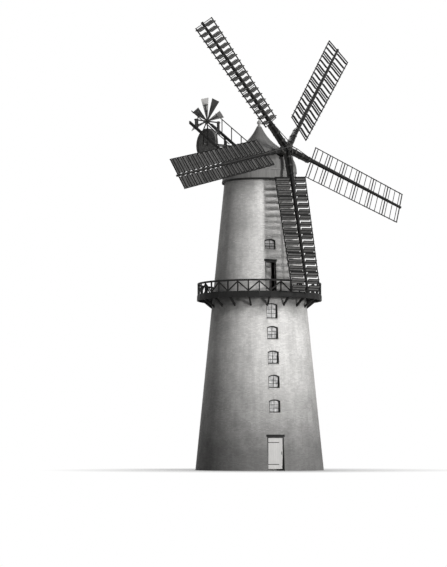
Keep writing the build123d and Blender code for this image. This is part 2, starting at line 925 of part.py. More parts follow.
shutter_pitch = bay_length / shutters_per_bay
shutter_reach = shutter_depth / 2 * sin(radians(shutter_opening))
with BuildPart() as one_set_of_shutters:
    for number in range(sail_bays * shutters_per_bay):
        reach = sail_heel + (number + 0.5) * shutter_pitch
        turn = weather(reach)
        inner = whip_width(reach) / 2 + shutter_reach * sin(radians(turn)) + shutter_clearance
        inner = inner / cos(radians(turn))
        for near, far in (
            (inner, leading_width - lath_width - pivot_gap),
            (-trailing_width + lath_width + pivot_gap, -inner),
        ):
            across = Plane(section_plane(reach, turn).origin, x_dir=(1, 0, 0), z_dir=(0, 0, 1))
            board = across.rotated((0, shutter_opening, 0)).rotated((turn, 0, 0))
            with BuildSketch(board.offset(-shutter_thickness / 2)) as board_outline:
                with Locations((0, (near + far) / 2)):
                    Rectangle(shutter_depth, far - near)
            extrude(board_outline.sketch, amount=shutter_thickness)

# Iron straps that bind whip and arm together
with BuildPart() as one_set_of_clamps:
    for place in clamp_positions:
        arm_share = (place - clamp_length / 2) / cross_arm_length
        arm_width = cross_arm_root + (cross_arm_tip - cross_arm_root) * arm_share
        inside = max(arm_width, whip_width(place - clamp_length / 2)) / 2 + joint_gap
        front = whip_front(place - clamp_length / 2) + joint_gap
        outside = inside + clamp_thickness
        with BuildSketch(Plane(origin=(place, 0, 0), x_dir=(0, 1, 0), z_dir=(1, 0, 0))) as strap:
            with BuildLine():
                Polyline(
                    (-outside, cross_back),
                    (-outside, front + clamp_thickness),
                    (outside, front + clamp_thickness),
                    (outside, cross_back),
                    (inside, cross_back),
                    (inside, front),
                    (-inside, front),
                    (-inside, cross_back),
                    close=True,
                )
            make_face()
        extrude(strap.sketch, amount=clamp_length / 2, both=True)

# Striking gear: spider, the links from its arms, and a rod along each whip
link_front = whip_front(striking_rod_start) + link_size / 2 + joint_gap
link_end = whip_front(striking_rod_end) + link_size / 2 + joint_gap
spider_front = spider_height + spider_thickness / 2
with BuildPart() as one_striking_link:
    link_corner = (striking_rod_start, 0, link_front)
    bar((spider_arm_length - link_size, 0, spider_front), link_corner, link_size, link_size, (0, 1, 0))
    bar(link_corner, (striking_rod_end, 0, link_end), link_size, link_size, (0, 1, 0))

sail_locations = [sail_location(number) for number in range(sail_count)]
for name, pattern in (
    ("sail_whips", one_whip),
    ("sail_bars", one_set_of_bars),
    ("sail_hemlaths", one_pair_of_laths),
    ("sail_shutters", one_set_of_shutters),
    ("sail_clamps", one_set_of_clamps),
):
    with BuildPart() as group:
        with Locations(*sail_locations):
            add(pattern.part)
    save(group, name)

with BuildPart() as striking_gear:
    with BuildSketch(shaft_plane.offset(spider_height)):
        RegularPolygon(spider_hub_radius, 2 * sail_count, rotation=-first_sail_angle)
        with PolarLocations(0, sail_count, start_angle=-first_sail_angle):
            with Locations((spider_arm_length / 2, 0)):
                Rectangle(spider_arm_length, spider_arm_width)
    extrude(amount=spider_thickness)
    with BuildSketch(shaft_plane.offset(nose_length)):
        RegularPolygon(striking_rod_radius, shaft_sides)
    extrude(amount=spider_height - nose_length)
    with Locations(*sail_locations):
        add(one_striking_link.part)
save(striking_gear, "striking_gear")

# Spars that carry the fan, and the posts below them
with BuildPart() as fan_spars:
    for place in spar_places:
        upright_slice(spar_outline, place, spar_width)
save(fan_spars, "fan_spars")

post_front = fan_post_position - fan_post_size / 2
post_back = fan_post_position + fan_post_size / 2
with BuildPart() as fan_posts:
    for place in spar_places:
        upright_slice(
            (
                (post_front, sheer_top),
                (post_back, sheer_top),
                (post_back, spar_line(post_back) - spar_half),
                (post_front, spar_line(post_front) - spar_half),
            ),
            place,
            fan_post_size,
        )
save(fan_posts, "fan_posts")

# Bearings of the fan on top of the spars
with BuildPart() as fan_bearings:
    for place in spar_places:
        front = fan_position - fan_bearing_length / 2
        back = fan_position + fan_bearing_length / 2
        upright_slice(
            (
                (front, spar_line(front) + spar_half),
                (back, spar_line(back) + spar_half),
                (back, fan_height),
                (fan_position + fan_bearing_cover, fan_height + fan_bearing_cover),
                (fan_position - fan_bearing_cover, fan_height + fan_bearing_cover),
                (front, fan_height),
            ),
            place,
            fan_bearing_width,
        )
    with BuildSketch(Plane.YZ.offset(-spar_spacing)):
        with Locations((fan_position, fan_height)):
            Circle(fan_spindle_radius + journal_clearance)
    extrude(amount=2 * spar_spacing, mode=Mode.SUBTRACT)
save(fan_bearings, "fan_bearings")

# Steps up between the spars
with BuildPart() as fan_steps:
    for number in range(step_count):
        place = first_step + (last_step - first_step) * number / (step_count - 1)
        with BuildSketch(Plane.XY.offset(spar_line(place) - step_thickness / 2)):
            with Locations((0, place)):
                Rectangle(spar_spacing - spar_width - joint_gap, step_length)
        extrude(amount=step_thickness)
save(fan_steps, "fan_steps")

# Handrails on stanchions outside the spars
with BuildPart() as fan_handrails:
    for side in (-1, 1):
        place = side * (spar_spacing / 2 + spar_width / 2 + stanchion_size / 2 + joint_gap)
        upright_slice(
            (
                (handrail_start, spar_line(handrail_start) + handrail_height - handrail_size / 2),
                (handrail_end, spar_line(handrail_end) + handrail_height - handrail_size / 2),
                (handrail_end, spar_line(handrail_end) + handrail_height + handrail_size / 2),
                (handrail_start, spar_line(handrail_start) + handrail_height + handrail_size / 2),
            ),
            place,
            handrail_size,
        )
        for middle in stanchion_positions:
            near = middle - stanchion_size / 2
            far = middle + stanchion_size / 2
            upright_slice(
                (
                    (near, spar_line(near) - spar_half / 2),
                    (far, spar_line(far) - spar_half / 2),
                    (far, spar_line(far) + handrail_height),
                    (near, spar_line(near) + handrail_height),
                ),
                place,
                stanchion_size,
            )
save(fan_handrails, "fan_handrails")

# Fan: spindle with its boss, and the pitched blades on their stocks
fan_plane = Plane(origin=(0, fan_position, fan_height), x_dir=(0, 0, 1), z_dir=(1, 0, 0))
with BuildPart() as fan_spindle:
    with BuildSketch(Plane.YZ.offset(-fan_spindle_length / 2)):
        with Locations((fan_position, fan_height)):
            Circle(fan_spindle_radius)
    extrude(amount=fan_spindle_length)
    with BuildSketch(fan_plane.offset(-fan_hub_length / 2)):
        hub_turn = first_blade_angle + 180 / fan_blades_count
        RegularPolygon(fan_hub_radius, fan_blades_count, False, rotation=hub_turn)
    extrude(amount=fan_hub_length)
save(fan_spindle, "fan_spindle")

with BuildPart() as one_blade:
    with BuildSketch(Plane.XY.rotated((blade_pitch, 0, 0)).offset(-blade_thickness / 2)):
        Polygon(
            (fan_hub_radius + blade_seat_gap, -blade_root_width / 2),
            (fan_radius, -blade_tip_width / 2),
            (fan_radius, blade_tip_width / 2),
            (fan_hub_radius + blade_seat_gap, blade_root_width / 2),
            align=None,
        )
    extrude(amount=blade_thickness)
    with BuildSketch(Plane.XY.rotated((blade_pitch, 0, 0)).offset(-blade_thickness / 2 - stock_size)):
        with Locations(((fan_hub_radius + blade_seat_gap + stock_reach) / 2, 0)):
            Rectangle(stock_reach - fan_hub_radius - blade_seat_gap, stock_size)
    extrude(amount=stock_size)
fan_turns = [
    fan_plane.location * Location((0, 0, 0), (0, 0, first_blade_angle + number * 360 / fan_blades_count))
    for number in range(fan_blades_count)
]
with BuildPart() as fan_blades:
    with Locations(*fan_turns):
        add(one_blade.part)
save(fan_blades, "fan_blades")

# Chain wheel on its axle, and the hangers under the spars
with BuildPart() as chain_wheel:
    with BuildSketch(Plane.YZ.offset(-axle_length / 2)):
        with Locations((wheel_position, wheel_height)):
            Circle(axle_radius)
    extrude(amount=axle_length)
    for thickness, outside, inside in (
        (wheel_hub_length, wheel_hub_radius, 0),
        (wheel_web_thickness, wheel_radius, 0),
        (wheel_rim_width, wheel_radius, wheel_radius - wheel_rim_depth),
    ):
        with BuildSketch(Plane.YZ.offset(wheel_place - thickness / 2)):
            with Locations((wheel_position, wheel_height)):
                RegularPolygon(outside, wheel_sides)
                if inside:
                    RegularPolygon(inside, wheel_sides, mode=Mode.SUBTRACT)
        extrude(amount=thickness)
save(chain_wheel, "chain_wheel")

with BuildPart() as wheel_hangers:
    front = wheel_position - hanger_width / 2
    back = wheel_position + hanger_width / 2
    for place in spar_places:
        upright_slice(
            (
                (front, spar_line(front) - spar_half),
                (front, wheel_height - hanger_drop),
                (back, wheel_height - hanger_drop),
                (back, spar_line(back) - spar_half),
            ),
            place,
            hanger_thickness,
        )
    with BuildSketch(Plane.YZ.offset(-spar_spacing)):
        with Locations((wheel_position, wheel_height)):
            Circle(axle_radius + journal_clearance)
    extrude(amount=2 * spar_spacing, mode=Mode.SUBTRACT)
save(wheel_hangers, "wheel_hangers")
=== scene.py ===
"""A five-sailed tower mill: looks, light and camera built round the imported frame."""
import math
import random

import bpy
import numpy as np
from mathutils import Matrix, Vector


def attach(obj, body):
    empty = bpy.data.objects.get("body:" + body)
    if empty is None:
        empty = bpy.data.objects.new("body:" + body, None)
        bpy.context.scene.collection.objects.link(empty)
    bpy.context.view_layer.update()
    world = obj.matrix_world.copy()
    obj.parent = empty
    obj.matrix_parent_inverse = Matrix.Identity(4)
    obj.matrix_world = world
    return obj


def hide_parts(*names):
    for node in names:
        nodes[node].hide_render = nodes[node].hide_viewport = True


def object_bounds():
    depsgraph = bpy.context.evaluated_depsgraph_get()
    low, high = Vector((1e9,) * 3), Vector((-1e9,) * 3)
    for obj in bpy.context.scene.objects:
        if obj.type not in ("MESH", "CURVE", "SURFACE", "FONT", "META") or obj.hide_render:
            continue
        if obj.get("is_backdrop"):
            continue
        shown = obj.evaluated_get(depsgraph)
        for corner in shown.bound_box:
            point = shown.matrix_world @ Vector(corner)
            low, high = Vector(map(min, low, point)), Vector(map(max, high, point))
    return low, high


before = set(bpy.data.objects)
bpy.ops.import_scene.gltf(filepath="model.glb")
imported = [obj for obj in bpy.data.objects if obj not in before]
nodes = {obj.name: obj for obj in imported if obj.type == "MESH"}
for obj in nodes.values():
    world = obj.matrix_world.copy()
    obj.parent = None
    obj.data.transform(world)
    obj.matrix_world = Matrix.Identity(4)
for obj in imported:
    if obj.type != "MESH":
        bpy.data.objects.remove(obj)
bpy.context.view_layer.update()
random.seed(7)

# Sizes in metres and turns in radians, the same as in the frame
TOWER_HEIGHT = 19.75
BASE_RADIUS = 4.39
TOP_RADIUS = 2.41
FRONT = math.radians(-114.2)
BACK = FRONT + math.pi
WINDOW_WIDTH = 0.78
WINDOW_RISE = 0.11
FRAME_RISE = 0.076
FRAME_WIDTH = 0.08
SILL_HEIGHT = 0.06
WINDOW_REVEAL = 0.17
FRONT_WINDOWS = ((3.8, 0.95), (5.45, 0.95), (7.07, 0.96), (8.74, 0.95), (10.13, 1.11), (14.83, 0.8))
BACK_WINDOWS = ((3.8, 0.95), (5.45, 0.95), (7.07, 0.96), (8.74, 0.95), (14.83, 0.8))
STAGE_LEVEL = 11.95
STAGE_DOOR = (STAGE_LEVEL, 0.78, 2.13)
GROUND_DOOR = (0.12, 1.15, 2.13)
DOOR_REVEAL = 0.12
DOOR_FRAME_WIDTH = 0.07
LEAF_THICKNESS = 0.045
LINTEL_BEARING = 0.06
LINTEL_HEIGHT = 0.15
STAGE_RADIUS = 4.3
STAGE_BAYS = 36
STAGE_FIRST_POST = math.radians(-129.2)
DECK_THICKNESS = 0.06
SKIRT_BOTTOM = 19.72
EAVES_LEVEL = 20.5
EAVES_RADIUS = 2.6
SHOULDER_RADIUS = 1.86
SHOULDER_TURN = math.radians(62)
HOLLOW_RADIUS = 3.24
HOLLOW_TURN = math.radians(37.7)
HUB = Vector((0, -3.1, 21.85))
SHAFT_TILT = math.radians(14)
SHAFT_HOLE_RADIUS = 0.33
SAIL_COUNT = 5
FIRST_SAIL = math.radians(-34)
SAIL_OFFSET = -0.035
SAIL_HEEL = 2.1
SAIL_BAYS = 6
BAY_LENGTH = 1.35
LEADING_WIDTH = 1.0
TRAILING_WIDTH = 1.22
LATH_WIDTH = 0.045
HEEL_WEATHER = math.radians(20)
TIP_WEATHER = math.radians(8)
SHUTTER_DEPTH = 0.43
SHUTTER_OPENING = math.radians(55)
FAN_HUB = Vector((0, 5.87, 24.84))
FAN_RADIUS = 1.72
FAN_BLADES = 8
FIRST_BLADE = math.radians(-10)
BLADE_PITCH = math.radians(35)

# Bricks of 215 by 102.5 by 65 mm with 10 mm joints, in Flemish bond
COURSE = 0.075
JOINT = 0.01
STRETCHER = 0.215
PAIR = 0.3375


def outer(height):
    return BASE_RADIUS + (TOP_RADIUS - BASE_RADIUS) * height / TOWER_HEIGHT


def round_point(angle, radius, height):
    return (radius * math.cos(angle), radius * math.sin(angle), height)


def frame_matrix(x_axis, z_axis, origin):
    x_axis = Vector(x_axis).normalized()
    z_axis = Vector(z_axis).normalized()
    y_axis = z_axis.cross(x_axis)
    made = Matrix((x_axis, y_axis, z_axis)).transposed().to_4x4()
    made.translation = Vector(origin)
    return made


def facing(angle, distance, height):
    """A place on the wall: x sideways, y up and z outwards."""
    out = Vector((math.cos(angle), math.sin(angle), 0))
    return frame_matrix((-out.y, out.x, 0), out, (distance * out.x, distance * out.y, height))


# Node materials

# Where each kind of dirt and painted shade on the wall starts and ends, and the share of light left at both
# ends. The painted shade of the sides goes round the wall, from -1 on its far side to 1 on its darker side,
# give or take a noise. The rest goes by metres above the ground, with a noise added.
# Painted shade on the wall's darker side
DARK_SIDE_SHADE = (0.1, 0.9, 1.0, 0.52)
# Lighter painted shade on the wall's far side
FAR_SIDE_SHADE = (-1.05, -0.6, 0.74, 1.0)
# Darker towards the ground: grime, and painted shadow
FOOT_GRIME_AND_SHADOW = (2.4, 9.2, 0.27, 1.0)
# Painted shadow on the wall below the stage
STAGE_SHADOW = (11.4, 12.8, 1.0, 0.3)
# Painted shadow on the wall below the cap
CAP_SHADOW = (19.6, 21.0, 1.0, 0.6)
# The way that the side with the darker painted shade faces
DARK_SIDE_WAY = (-0.775, 0.632, 0)
# How far a noise moves the edge of the painted shade of the sides
SIDE_SHADE_EDGE = 0.16
# Metres that a noise moves the edges of the dirt and painted shadow that go by height
DIRT_AND_SHADE_EDGE = 2.4
# The stage's deck: no painted shadow of the stage shows above this height
STAGE_SHADOW_TOP = 11.9

# How many times further the blue of a warm grey falls than its red rises
BLUE_LOSS = 1.6

# Plain tones, which patches, dirt and painted shade then darken, and pairs of tones that a paint goes
# between
BRICK_TONE = 0.78
MORTAR_TONE = 0.6
STONE_TONE = 0.55
CANVAS_TONES = (0.05, 0.2)
IRON_TONE = 0.028
RUST_TONE = 0.07
# Pane tones: pale as painted reflection, and paler where flour dust lies
CLEAR_PANE_TONE = 0.34
DUSTY_REFLECTING_PANE_TONE = 0.62
PANE_ALPHA = 0.9

# How much grain, wear and a board's own random number count in the tone of timber, and how much blotches
# and a panel's own number count in that of canvas
GRAIN_SHARE = 0.5
WEAR_SHARE = 0.25
PIECE_SHARE = 0.25
BLOTCH_SHARE = 0.6
PANEL_SHARE = 0.4

# How much smoother and rougher than its plain roughness worn timber gets
SMOOTHER = 0.08
ROUGHER = 0.1

# Depth in metres of the relief on each kind of surface
ROUGH_RELIEF = 0.002
STONE_RELIEF = 0.0015
GRAIN_RELIEF = 0.0012
FINE_RELIEF = 0.001

# Scale of the noise along each axis, which draws it out into grain: large across timber, small along it
UPRIGHT = (12, 12, 0.8)
FINE_UPRIGHT = (14, 14, 0.8)
OWN_LENGTH = (1, 12, 12)

# Colour sockets of Blender's Mix node
MIX_FIRST = 6
MIX_SECOND = 7
MIX_RESULT = 2


class Paint:
    """One procedural material, with its colour, roughness and relief built from nodes."""

    def __init__(self, name, roughness, metallic=0.0, gloss=0.5):
        self.material = bpy.data.materials.new(name)
        self.material.use_nodes = True
        self.tree = self.material.node_tree
        self.shader = self.tree.nodes["Principled BSDF"]
        self.shader.inputs["Roughness"].default_value = roughness
        self.shader.inputs["Metallic"].default_value = metallic
        self.shader.inputs["Specular IOR Level"].default_value = gloss
        self.place = self.node("ShaderNodeTexCoord").outputs["Object"]

    def node(self, kind, inputs=None, **settings):
        made = self.tree.nodes.new(kind)
        for key, value in settings.items():
            setattr(made, key, value)
        for key, value in (inputs or {}).items():
            self.put(made.inputs[key], value)
        return made

    def put(self, socket, value):
        if isinstance(value, bpy.types.NodeSocket):
            self.tree.links.new(value, socket)
        else:
            socket.default_value = value

    def calculate(self, operation, first, second, clamp=False):
        made = self.node("ShaderNodeMath", {0: first, 1: second}, operation=operation, use_clamp=clamp)
        return made.outputs[0]

    def product(self, first, *others):
        for other in others:
            first = self.calculate("MULTIPLY", first, other)
        return first

    def vector(self, operation, *values):
        """A step with vectors. Its result is a number where the operation gives one."""
        made = self.node("ShaderNodeVectorMath", dict(enumerate(values)), operation=operation)
        return made.outputs["Value" if operation in ("DOT_PRODUCT", "LENGTH") else "Vector"]

    def grain_place(self):
        """Coordinates that were stored with a mesh, along its own length."""
        return self.node("ShaderNodeAttribute", attribute_name="grain").outputs["Vector"]

    def noise(self, scale, stretch=(1, 1, 1), detail=4.0, rough=0.55, place=None):
        moved = self.node("ShaderNodeMapping", {"Vector": place or self.place, "Scale": stretch})
        return self.node(
            "ShaderNodeTexNoise",
            {"Vector": moved.outputs[0], "Scale": scale, "Detail": detail, "Roughness": rough},
        ).outputs["Fac"]

    def span(self, value, low, high, to_low=0.0, to_high=1.0):
        """Moves a value from one range to another, held at both ends."""
        made = self.node(
            "ShaderNodeMapRange",
            {"Value": value, "From Min": low, "From Max": high, "To Min": to_low, "To Max": to_high},
        )
        return made.outputs["Result"]

    def spread(self, noise, to_low=0.0, to_high=1.0, reach=0.2):
        """Moves the middle of a noise, as far as reach on both sides of a half, to a range."""
        return self.span(noise, 0.5 - reach, 0.5 + reach, to_low, to_high)

    def height(self):
        return self.node("ShaderNodeSeparateXYZ", {0: self.place}).outputs["Z"]

    def island(self):
        """A random number for each brick, board or bar of a mesh."""
        return self.node("ShaderNodeNewGeometry").outputs["Random Per Island"]

    def tone(self, share, dark, pale, blend="MIX"):
        mixed = self.node("ShaderNodeMix", data_type="RGBA", blend_type=blend)
        self.put(mixed.inputs["Factor"], share)
        self.put(mixed.inputs[MIX_FIRST], dark)
        self.put(mixed.inputs[MIX_SECOND], pale)
        return mixed.outputs[MIX_RESULT]

    def darken(self, colour, share):
        return self.tone(1.0, colour, share, "MULTIPLY")

    def finish(self, colour, relief, depth):
        self.put(self.shader.inputs["Base Color"], colour)
        bump = self.node("ShaderNodeBump", {"Height": relief, "Distance": depth, "Strength": 1.0})
        self.put(self.shader.inputs["Normal"], bump.outputs[0])
        return self.material


def grey(value, warmth=0.015):
    return (value * (1 + warmth), value, value * (1 - BLUE_LOSS * warmth), 1.0)


def painted_side_shade(paint):
    """Share of light left by painted shade on the wall's darker side, and a little on the far side."""
    round_wall = paint.vector("MULTIPLY", paint.place, (1, 1, 0))
    outward = paint.vector("NORMALIZE", round_wall)
    turned = paint.vector("DOT_PRODUCT", outward, DARK_SIDE_WAY)
    edge = paint.spread(paint.noise(scale=0.7, detail=6.0), -SIDE_SHADE_EDGE, SIDE_SHADE_EDGE)
    ragged = paint.calculate("ADD", turned, edge)
    return paint.product(paint.span(ragged, *DARK_SIDE_SHADE), paint.span(ragged, *FAR_SIDE_SHADE))


def wall_dirt_and_shade(paint):
    """Share of light left by grime and painted shadow near the ground, rain streaks, painted shade on the
    sides, and painted shadow below the stage and cap.
    """
    height = paint.height()
    edge = paint.product(paint.noise(scale=0.9, detail=5.0), DIRT_AND_SHADE_EDGE)
    ragged = paint.calculate("ADD", height, edge)
    streaks = paint.noise(scale=1.6, stretch=(1, 1, 0.07), detail=6.0, rough=0.6)
    above_stage = paint.calculate("GREATER_THAN", height, STAGE_SHADOW_TOP)
    return paint.product(
        paint.span(ragged, *FOOT_GRIME_AND_SHADOW),
        paint.spread(streaks, to_low=0.84, reach=0.12),
        painted_side_shade(paint),
        # Painted shadow below the stage, none above its deck, and below the cap
        paint.calculate("MAXIMUM", paint.span(ragged, *STAGE_SHADOW), above_stage),
        paint.span(ragged, *CAP_SHADOW),
    )


def brick_paint():
    """Limewashed brick, with a tone for each brick, patches, speckle, dirt and painted shade."""
    paint = Paint("limewashed_brick", roughness=0.92)
    patches = paint.noise(scale=0.55, stretch=(1, 1, 0.5), detail=5.0, rough=0.6)
    speckle = paint.noise(scale=22.0, detail=3.0)
    value = paint.product(
        paint.span(paint.island(), 0.0, 1.0, to_low=0.84, to_high=1.06),
        paint.spread(patches, to_low=0.88, to_high=1.06),
        paint.spread(speckle, to_low=0.93, to_high=1.05),
        wall_dirt_and_shade(paint),
    )
    return paint.finish(paint.darken(grey(BRICK_TONE), value), paint.noise(scale=60.0), ROUGH_RELIEF)


def mortar_paint():
    paint = Paint("lime_mortar", roughness=0.95)
    patches = paint.spread(paint.noise(scale=14.0, detail=5.0), to_low=0.86, to_high=1.04)
    # Patches, with the dirt and painted shade of the bricks
    value = paint.product(patches, wall_dirt_and_shade(paint))
    return paint.finish(paint.darken(grey(MORTAR_TONE), value), paint.noise(scale=90.0), ROUGH_RELIEF)


def timber_paint(name, dark, pale, roughness, stretch=UPRIGHT, stored=False, gloss=0.4):
    """Painted or bare timber: grain along one way, a tone for each piece and worn patches.

    Where stored is set, the grain follows the coordinates that are stored with the mesh.
    """
    paint = Paint(name, roughness=roughness, gloss=gloss)
    place = paint.grain_place() if stored else paint.place
    grain = paint.noise(scale=3.0, stretch=stretch, detail=6.0, rough=0.6, place=place)
    wear = paint.noise(scale=0.9, detail=5.0, rough=0.6, place=place)
    share = paint.calculate(
        "ADD",
        paint.product(paint.spread(grain), GRAIN_SHARE),
        paint.product(paint.spread(wear), WEAR_SHARE),
    )
    share = paint.calculate("ADD", share, paint.product(paint.island(), PIECE_SHARE), clamp=True)
    worn = paint.spread(wear, roughness - SMOOTHER, roughness + ROUGHER, reach=0.15)
    paint.put(paint.shader.inputs["Roughness"], worn)
    return paint.finish(paint.tone(share, grey(dark), grey(pale)), grain, GRAIN_RELIEF)


def iron_paint():
    paint = Paint("cast_iron", roughness=0.55, metallic=0.3, gloss=0.25)
    rust = paint.noise(scale=3.5, detail=6.0)
    rusty = paint.span(rust, low=0.45, high=0.7)
    colour = paint.tone(rusty, grey(IRON_TONE, warmth=0.0), grey(RUST_TONE, warmth=0.05))
    paint.put(paint.shader.inputs["Roughness"], paint.spread(rust, to_low=0.38, to_high=0.68, reach=0.15))
    return paint.finish(colour, paint.noise(scale=45.0), FINE_RELIEF)


def glass_paint():
    """Old panes, pale as painted reflection, with patches of flour dust on them that make them paler still.
    """
    paint = Paint("dusty_reflecting_glass", roughness=0.12)
    dust = paint.noise(scale=5.0, detail=5.0)
    clear, dusty_reflecting = grey(CLEAR_PANE_TONE, warmth=0.0), grey(DUSTY_REFLECTING_PANE_TONE, warmth=0.01)
    colour = paint.tone(paint.spread(dust, reach=0.15), clear, dusty_reflecting)
    paint.shader.inputs["Alpha"].default_value = PANE_ALPHA
    paint.put(paint.shader.inputs["Roughness"], paint.spread(dust, to_low=0.06, to_high=0.3, reach=0.15))
    return paint.finish(colour, paint.noise(scale=2.5), ROUGH_RELIEF)


def stone_paint():
    paint = Paint("sill_stone", roughness=0.85)
    fine = paint.spread(paint.noise(scale=8.0, detail=6.0), to_low=0.8, to_high=1.05)
    broad = paint.spread(paint.noise(scale=1.3), to_low=0.85, reach=0.15)
    colour = paint.darken(grey(STONE_TONE), paint.product(fine, broad))
    return paint.finish(colour, paint.noise(scale=70.0), STONE_RELIEF)


def cloth_paint():
    """Painted canvas of the shutters, with a faint weave."""
    paint = Paint("shutter_canvas", roughness=0.85)
    place = paint.grain_place()
    threads = {"Vector": place, "Scale": 60.0, "Distortion": 0.4}
    weave = paint.node("ShaderNodeTexWave", threads, bands_direction="Y").outputs["Fac"]
    blotch = paint.noise(scale=3.0, detail=5.0, rough=0.6, place=place)
    share = paint.calculate(
        "ADD",
        paint.product(paint.spread(blotch), BLOTCH_SHARE),
        paint.product(paint.island(), PANEL_SHARE),
        clamp=True,
    )
    dark, pale = CANVAS_TONES
    return paint.finish(paint.tone(share, grey(dark), grey(pale)), weave, FINE_RELIEF)


BRICK = brick_paint()
MORTAR = mortar_paint()
TARRED = timber_paint("tarred_timber", dark=0.008, pale=0.03, roughness=0.72, gloss=0.15)
SAIL_TIMBER = timber_paint("sail_timber", dark=0.007, pale=0.026, roughness=0.7, gloss=0.12)
SHUTTER_FRAME = timber_paint(
    "shutter_frame", dark=0.008, pale=0.028, roughness=0.72, stretch=OWN_LENGTH, stored=True, gloss=0.12
)
CANVAS = cloth_paint()
CAP_BOARD = timber_paint("cap_boards", dark=0.09, pale=0.24, roughness=0.78, stretch=(10, 10, 1), gloss=0.25)
SKIRT_BOARD = timber_paint(
    "skirt_boards", dark=0.12, pale=0.28, roughness=0.78, stretch=(10, 10, 0.7), gloss=0.25
)
FINIAL_PAINT = timber_paint("finial_paint", dark=0.2, pale=0.36, roughness=0.6, stretch=FINE_UPRIGHT)
DOOR_PAINT = timber_paint("door_paint", dark=0.42, pale=0.6, roughness=0.6, stretch=FINE_UPRIGHT)
DARK_PAINT = timber_paint(
    "dark_paint", dark=0.014, pale=0.04, roughness=0.6, stretch=FINE_UPRIGHT, gloss=0.2
)
BARE_OAK = timber_paint("bare_oak", dark=0.12, pale=0.24, roughness=0.8, stretch=(10, 0.8, 10))
FLOOR_BOARD = timber_paint("floor_boards", dark=0.2, pale=0.34, roughness=0.8, stretch=(0.8, 10, 10))
PALE_BLADE = timber_paint(
    "pale_blades", dark=0.42, pale=0.62, roughness=0.6, stretch=OWN_LENGTH, stored=True
)
DARK_BLADE = timber_paint(
    "dark_blades", dark=0.03, pale=0.07, roughness=0.6, stretch=OWN_LENGTH, stored=True
)
WHEEL_TIMBER = timber_paint(
    "wheel_timber", dark=0.012, pale=0.26, roughness=0.75, stretch=(5, 5, 5), gloss=0.2
)
IRON = iron_paint()
GLASS = glass_paint()
STONE = stone_paint()


# Mesh building

BLOCK_CORNERS = 8
BLOCK_FACES = np.array(
    ((0, 3, 2, 1), (4, 5, 6, 7), (0, 1, 5, 4), (1, 2, 6, 5), (2, 3, 7, 6), (3, 0, 4, 7))
)


def add_object(name, points, faces, body, materials, replaces=(), grain=None, smooth=False):
    mesh = bpy.data.meshes.new(name)
    mesh.from_pydata([tuple(point) for point in points], [], [tuple(face) for face in faces])
    mesh.update()
    for material in materials if isinstance(materials, (list, tuple)) else [materials]:
        mesh.materials.append(material)
    if grain is not None:
        stored = mesh.attributes.new("grain", "FLOAT_VECTOR", "POINT")
        stored.data.foreach_set("vector", np.asarray(grain, np.float32).ravel())
    if smooth:
        mesh.polygons.foreach_set("use_smooth", [True] * len(mesh.polygons))
    made = bpy.data.objects.new(name, mesh)
    bpy.context.scene.collection.objects.link(made)
    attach(made, body)
    if replaces:
        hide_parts(*replaces)
    return made


class Blocks:
    """Collects closed blocks of eight corners, in a place's own coordinates, for one joined mesh."""

    def __init__(self):
        self.corners = []
        self.grain = []
        self.marks = []

    def add(self, corners, matrix=None, mark=0):
        """Adds a block by the corners of its foot and head. The mark is the number of its material."""
        points = np.asarray(corners, float).reshape(BLOCK_CORNERS, 3)
        edges = points[[1, 3, 4]] - points[0]
        if np.linalg.det(edges) < 0:
            # Foot and head change places, so that the faces look outwards
            points = np.roll(points, BLOCK_CORNERS // 2, axis=0)
        self.grain.append(points)
        if matrix is not None:
            turn = np.array(matrix.to_3x3())
            points = points @ turn.T + np.array(matrix.translation)
        self.corners.append(points)
        self.marks.append(mark)

    def box(self, low, high, matrix=None, mark=0):
        (x0, y0, z0), (x1, y1, z1) = low, high
        self.add(
            ((x0, y0, z0), (x1, y0, z0), (x1, y1, z0), (x0, y1, z0),
             (x0, y0, z1), (x1, y0, z1), (x1, y1, z1), (x0, y1, z1)),
            matrix,
            mark,
        )

    def build(self, name, body, materials, slot, replaces=(), bevel=0.0):
        count = len(self.corners)
        points = np.concatenate(self.corners)
        faces = (BLOCK_FACES[None] + BLOCK_CORNERS * np.arange(count)[:, None, None]).reshape(-1, 4)
        grain = np.concatenate(self.grain)
        made = add_object(name, points, faces, body, materials, replaces, grain)
        if isinstance(materials, (list, tuple)):
            marks = np.repeat(self.marks, len(BLOCK_FACES)).astype(np.int32)
            made.data.polygons.foreach_set("material_index", marks)
        if bevel:
            soften(made, bevel)
        return made


def soften(made, width):
    bevel = made.modifiers.new("edges", "BEVEL")
    bevel.width = width
    bevel.segments = 1
    bevel.limit_method = "ANGLE"


# Brickwork

# How far bricks and arches stand proud of the wall, how much that varies and how deep they go
BRICK_PROUD = 0.003
BRICK_WOBBLE = 0.0015
BRICK_DEPTH = 0.03
WINDOW_BRICK_DEPTH = 0.165
DOOR_BRICK_DEPTH = 0.115
ARCH_PROUD = 0.006
ARCH_WOBBLE = 0.002
ARCH_DEPTH = 0.17

# The least length of a cut brick, and how bricks meet the sides of openings and the lintels
SHORTEST_BRICK = 0.02
JAMB_LAP = 0.003
LINTEL_GAP = 0.006

# The quarters of the wall in turn, and where the front one starts in degrees
QUARTERS = ("front", "right", "back", "left")
FRONT_QUARTER_START = -135


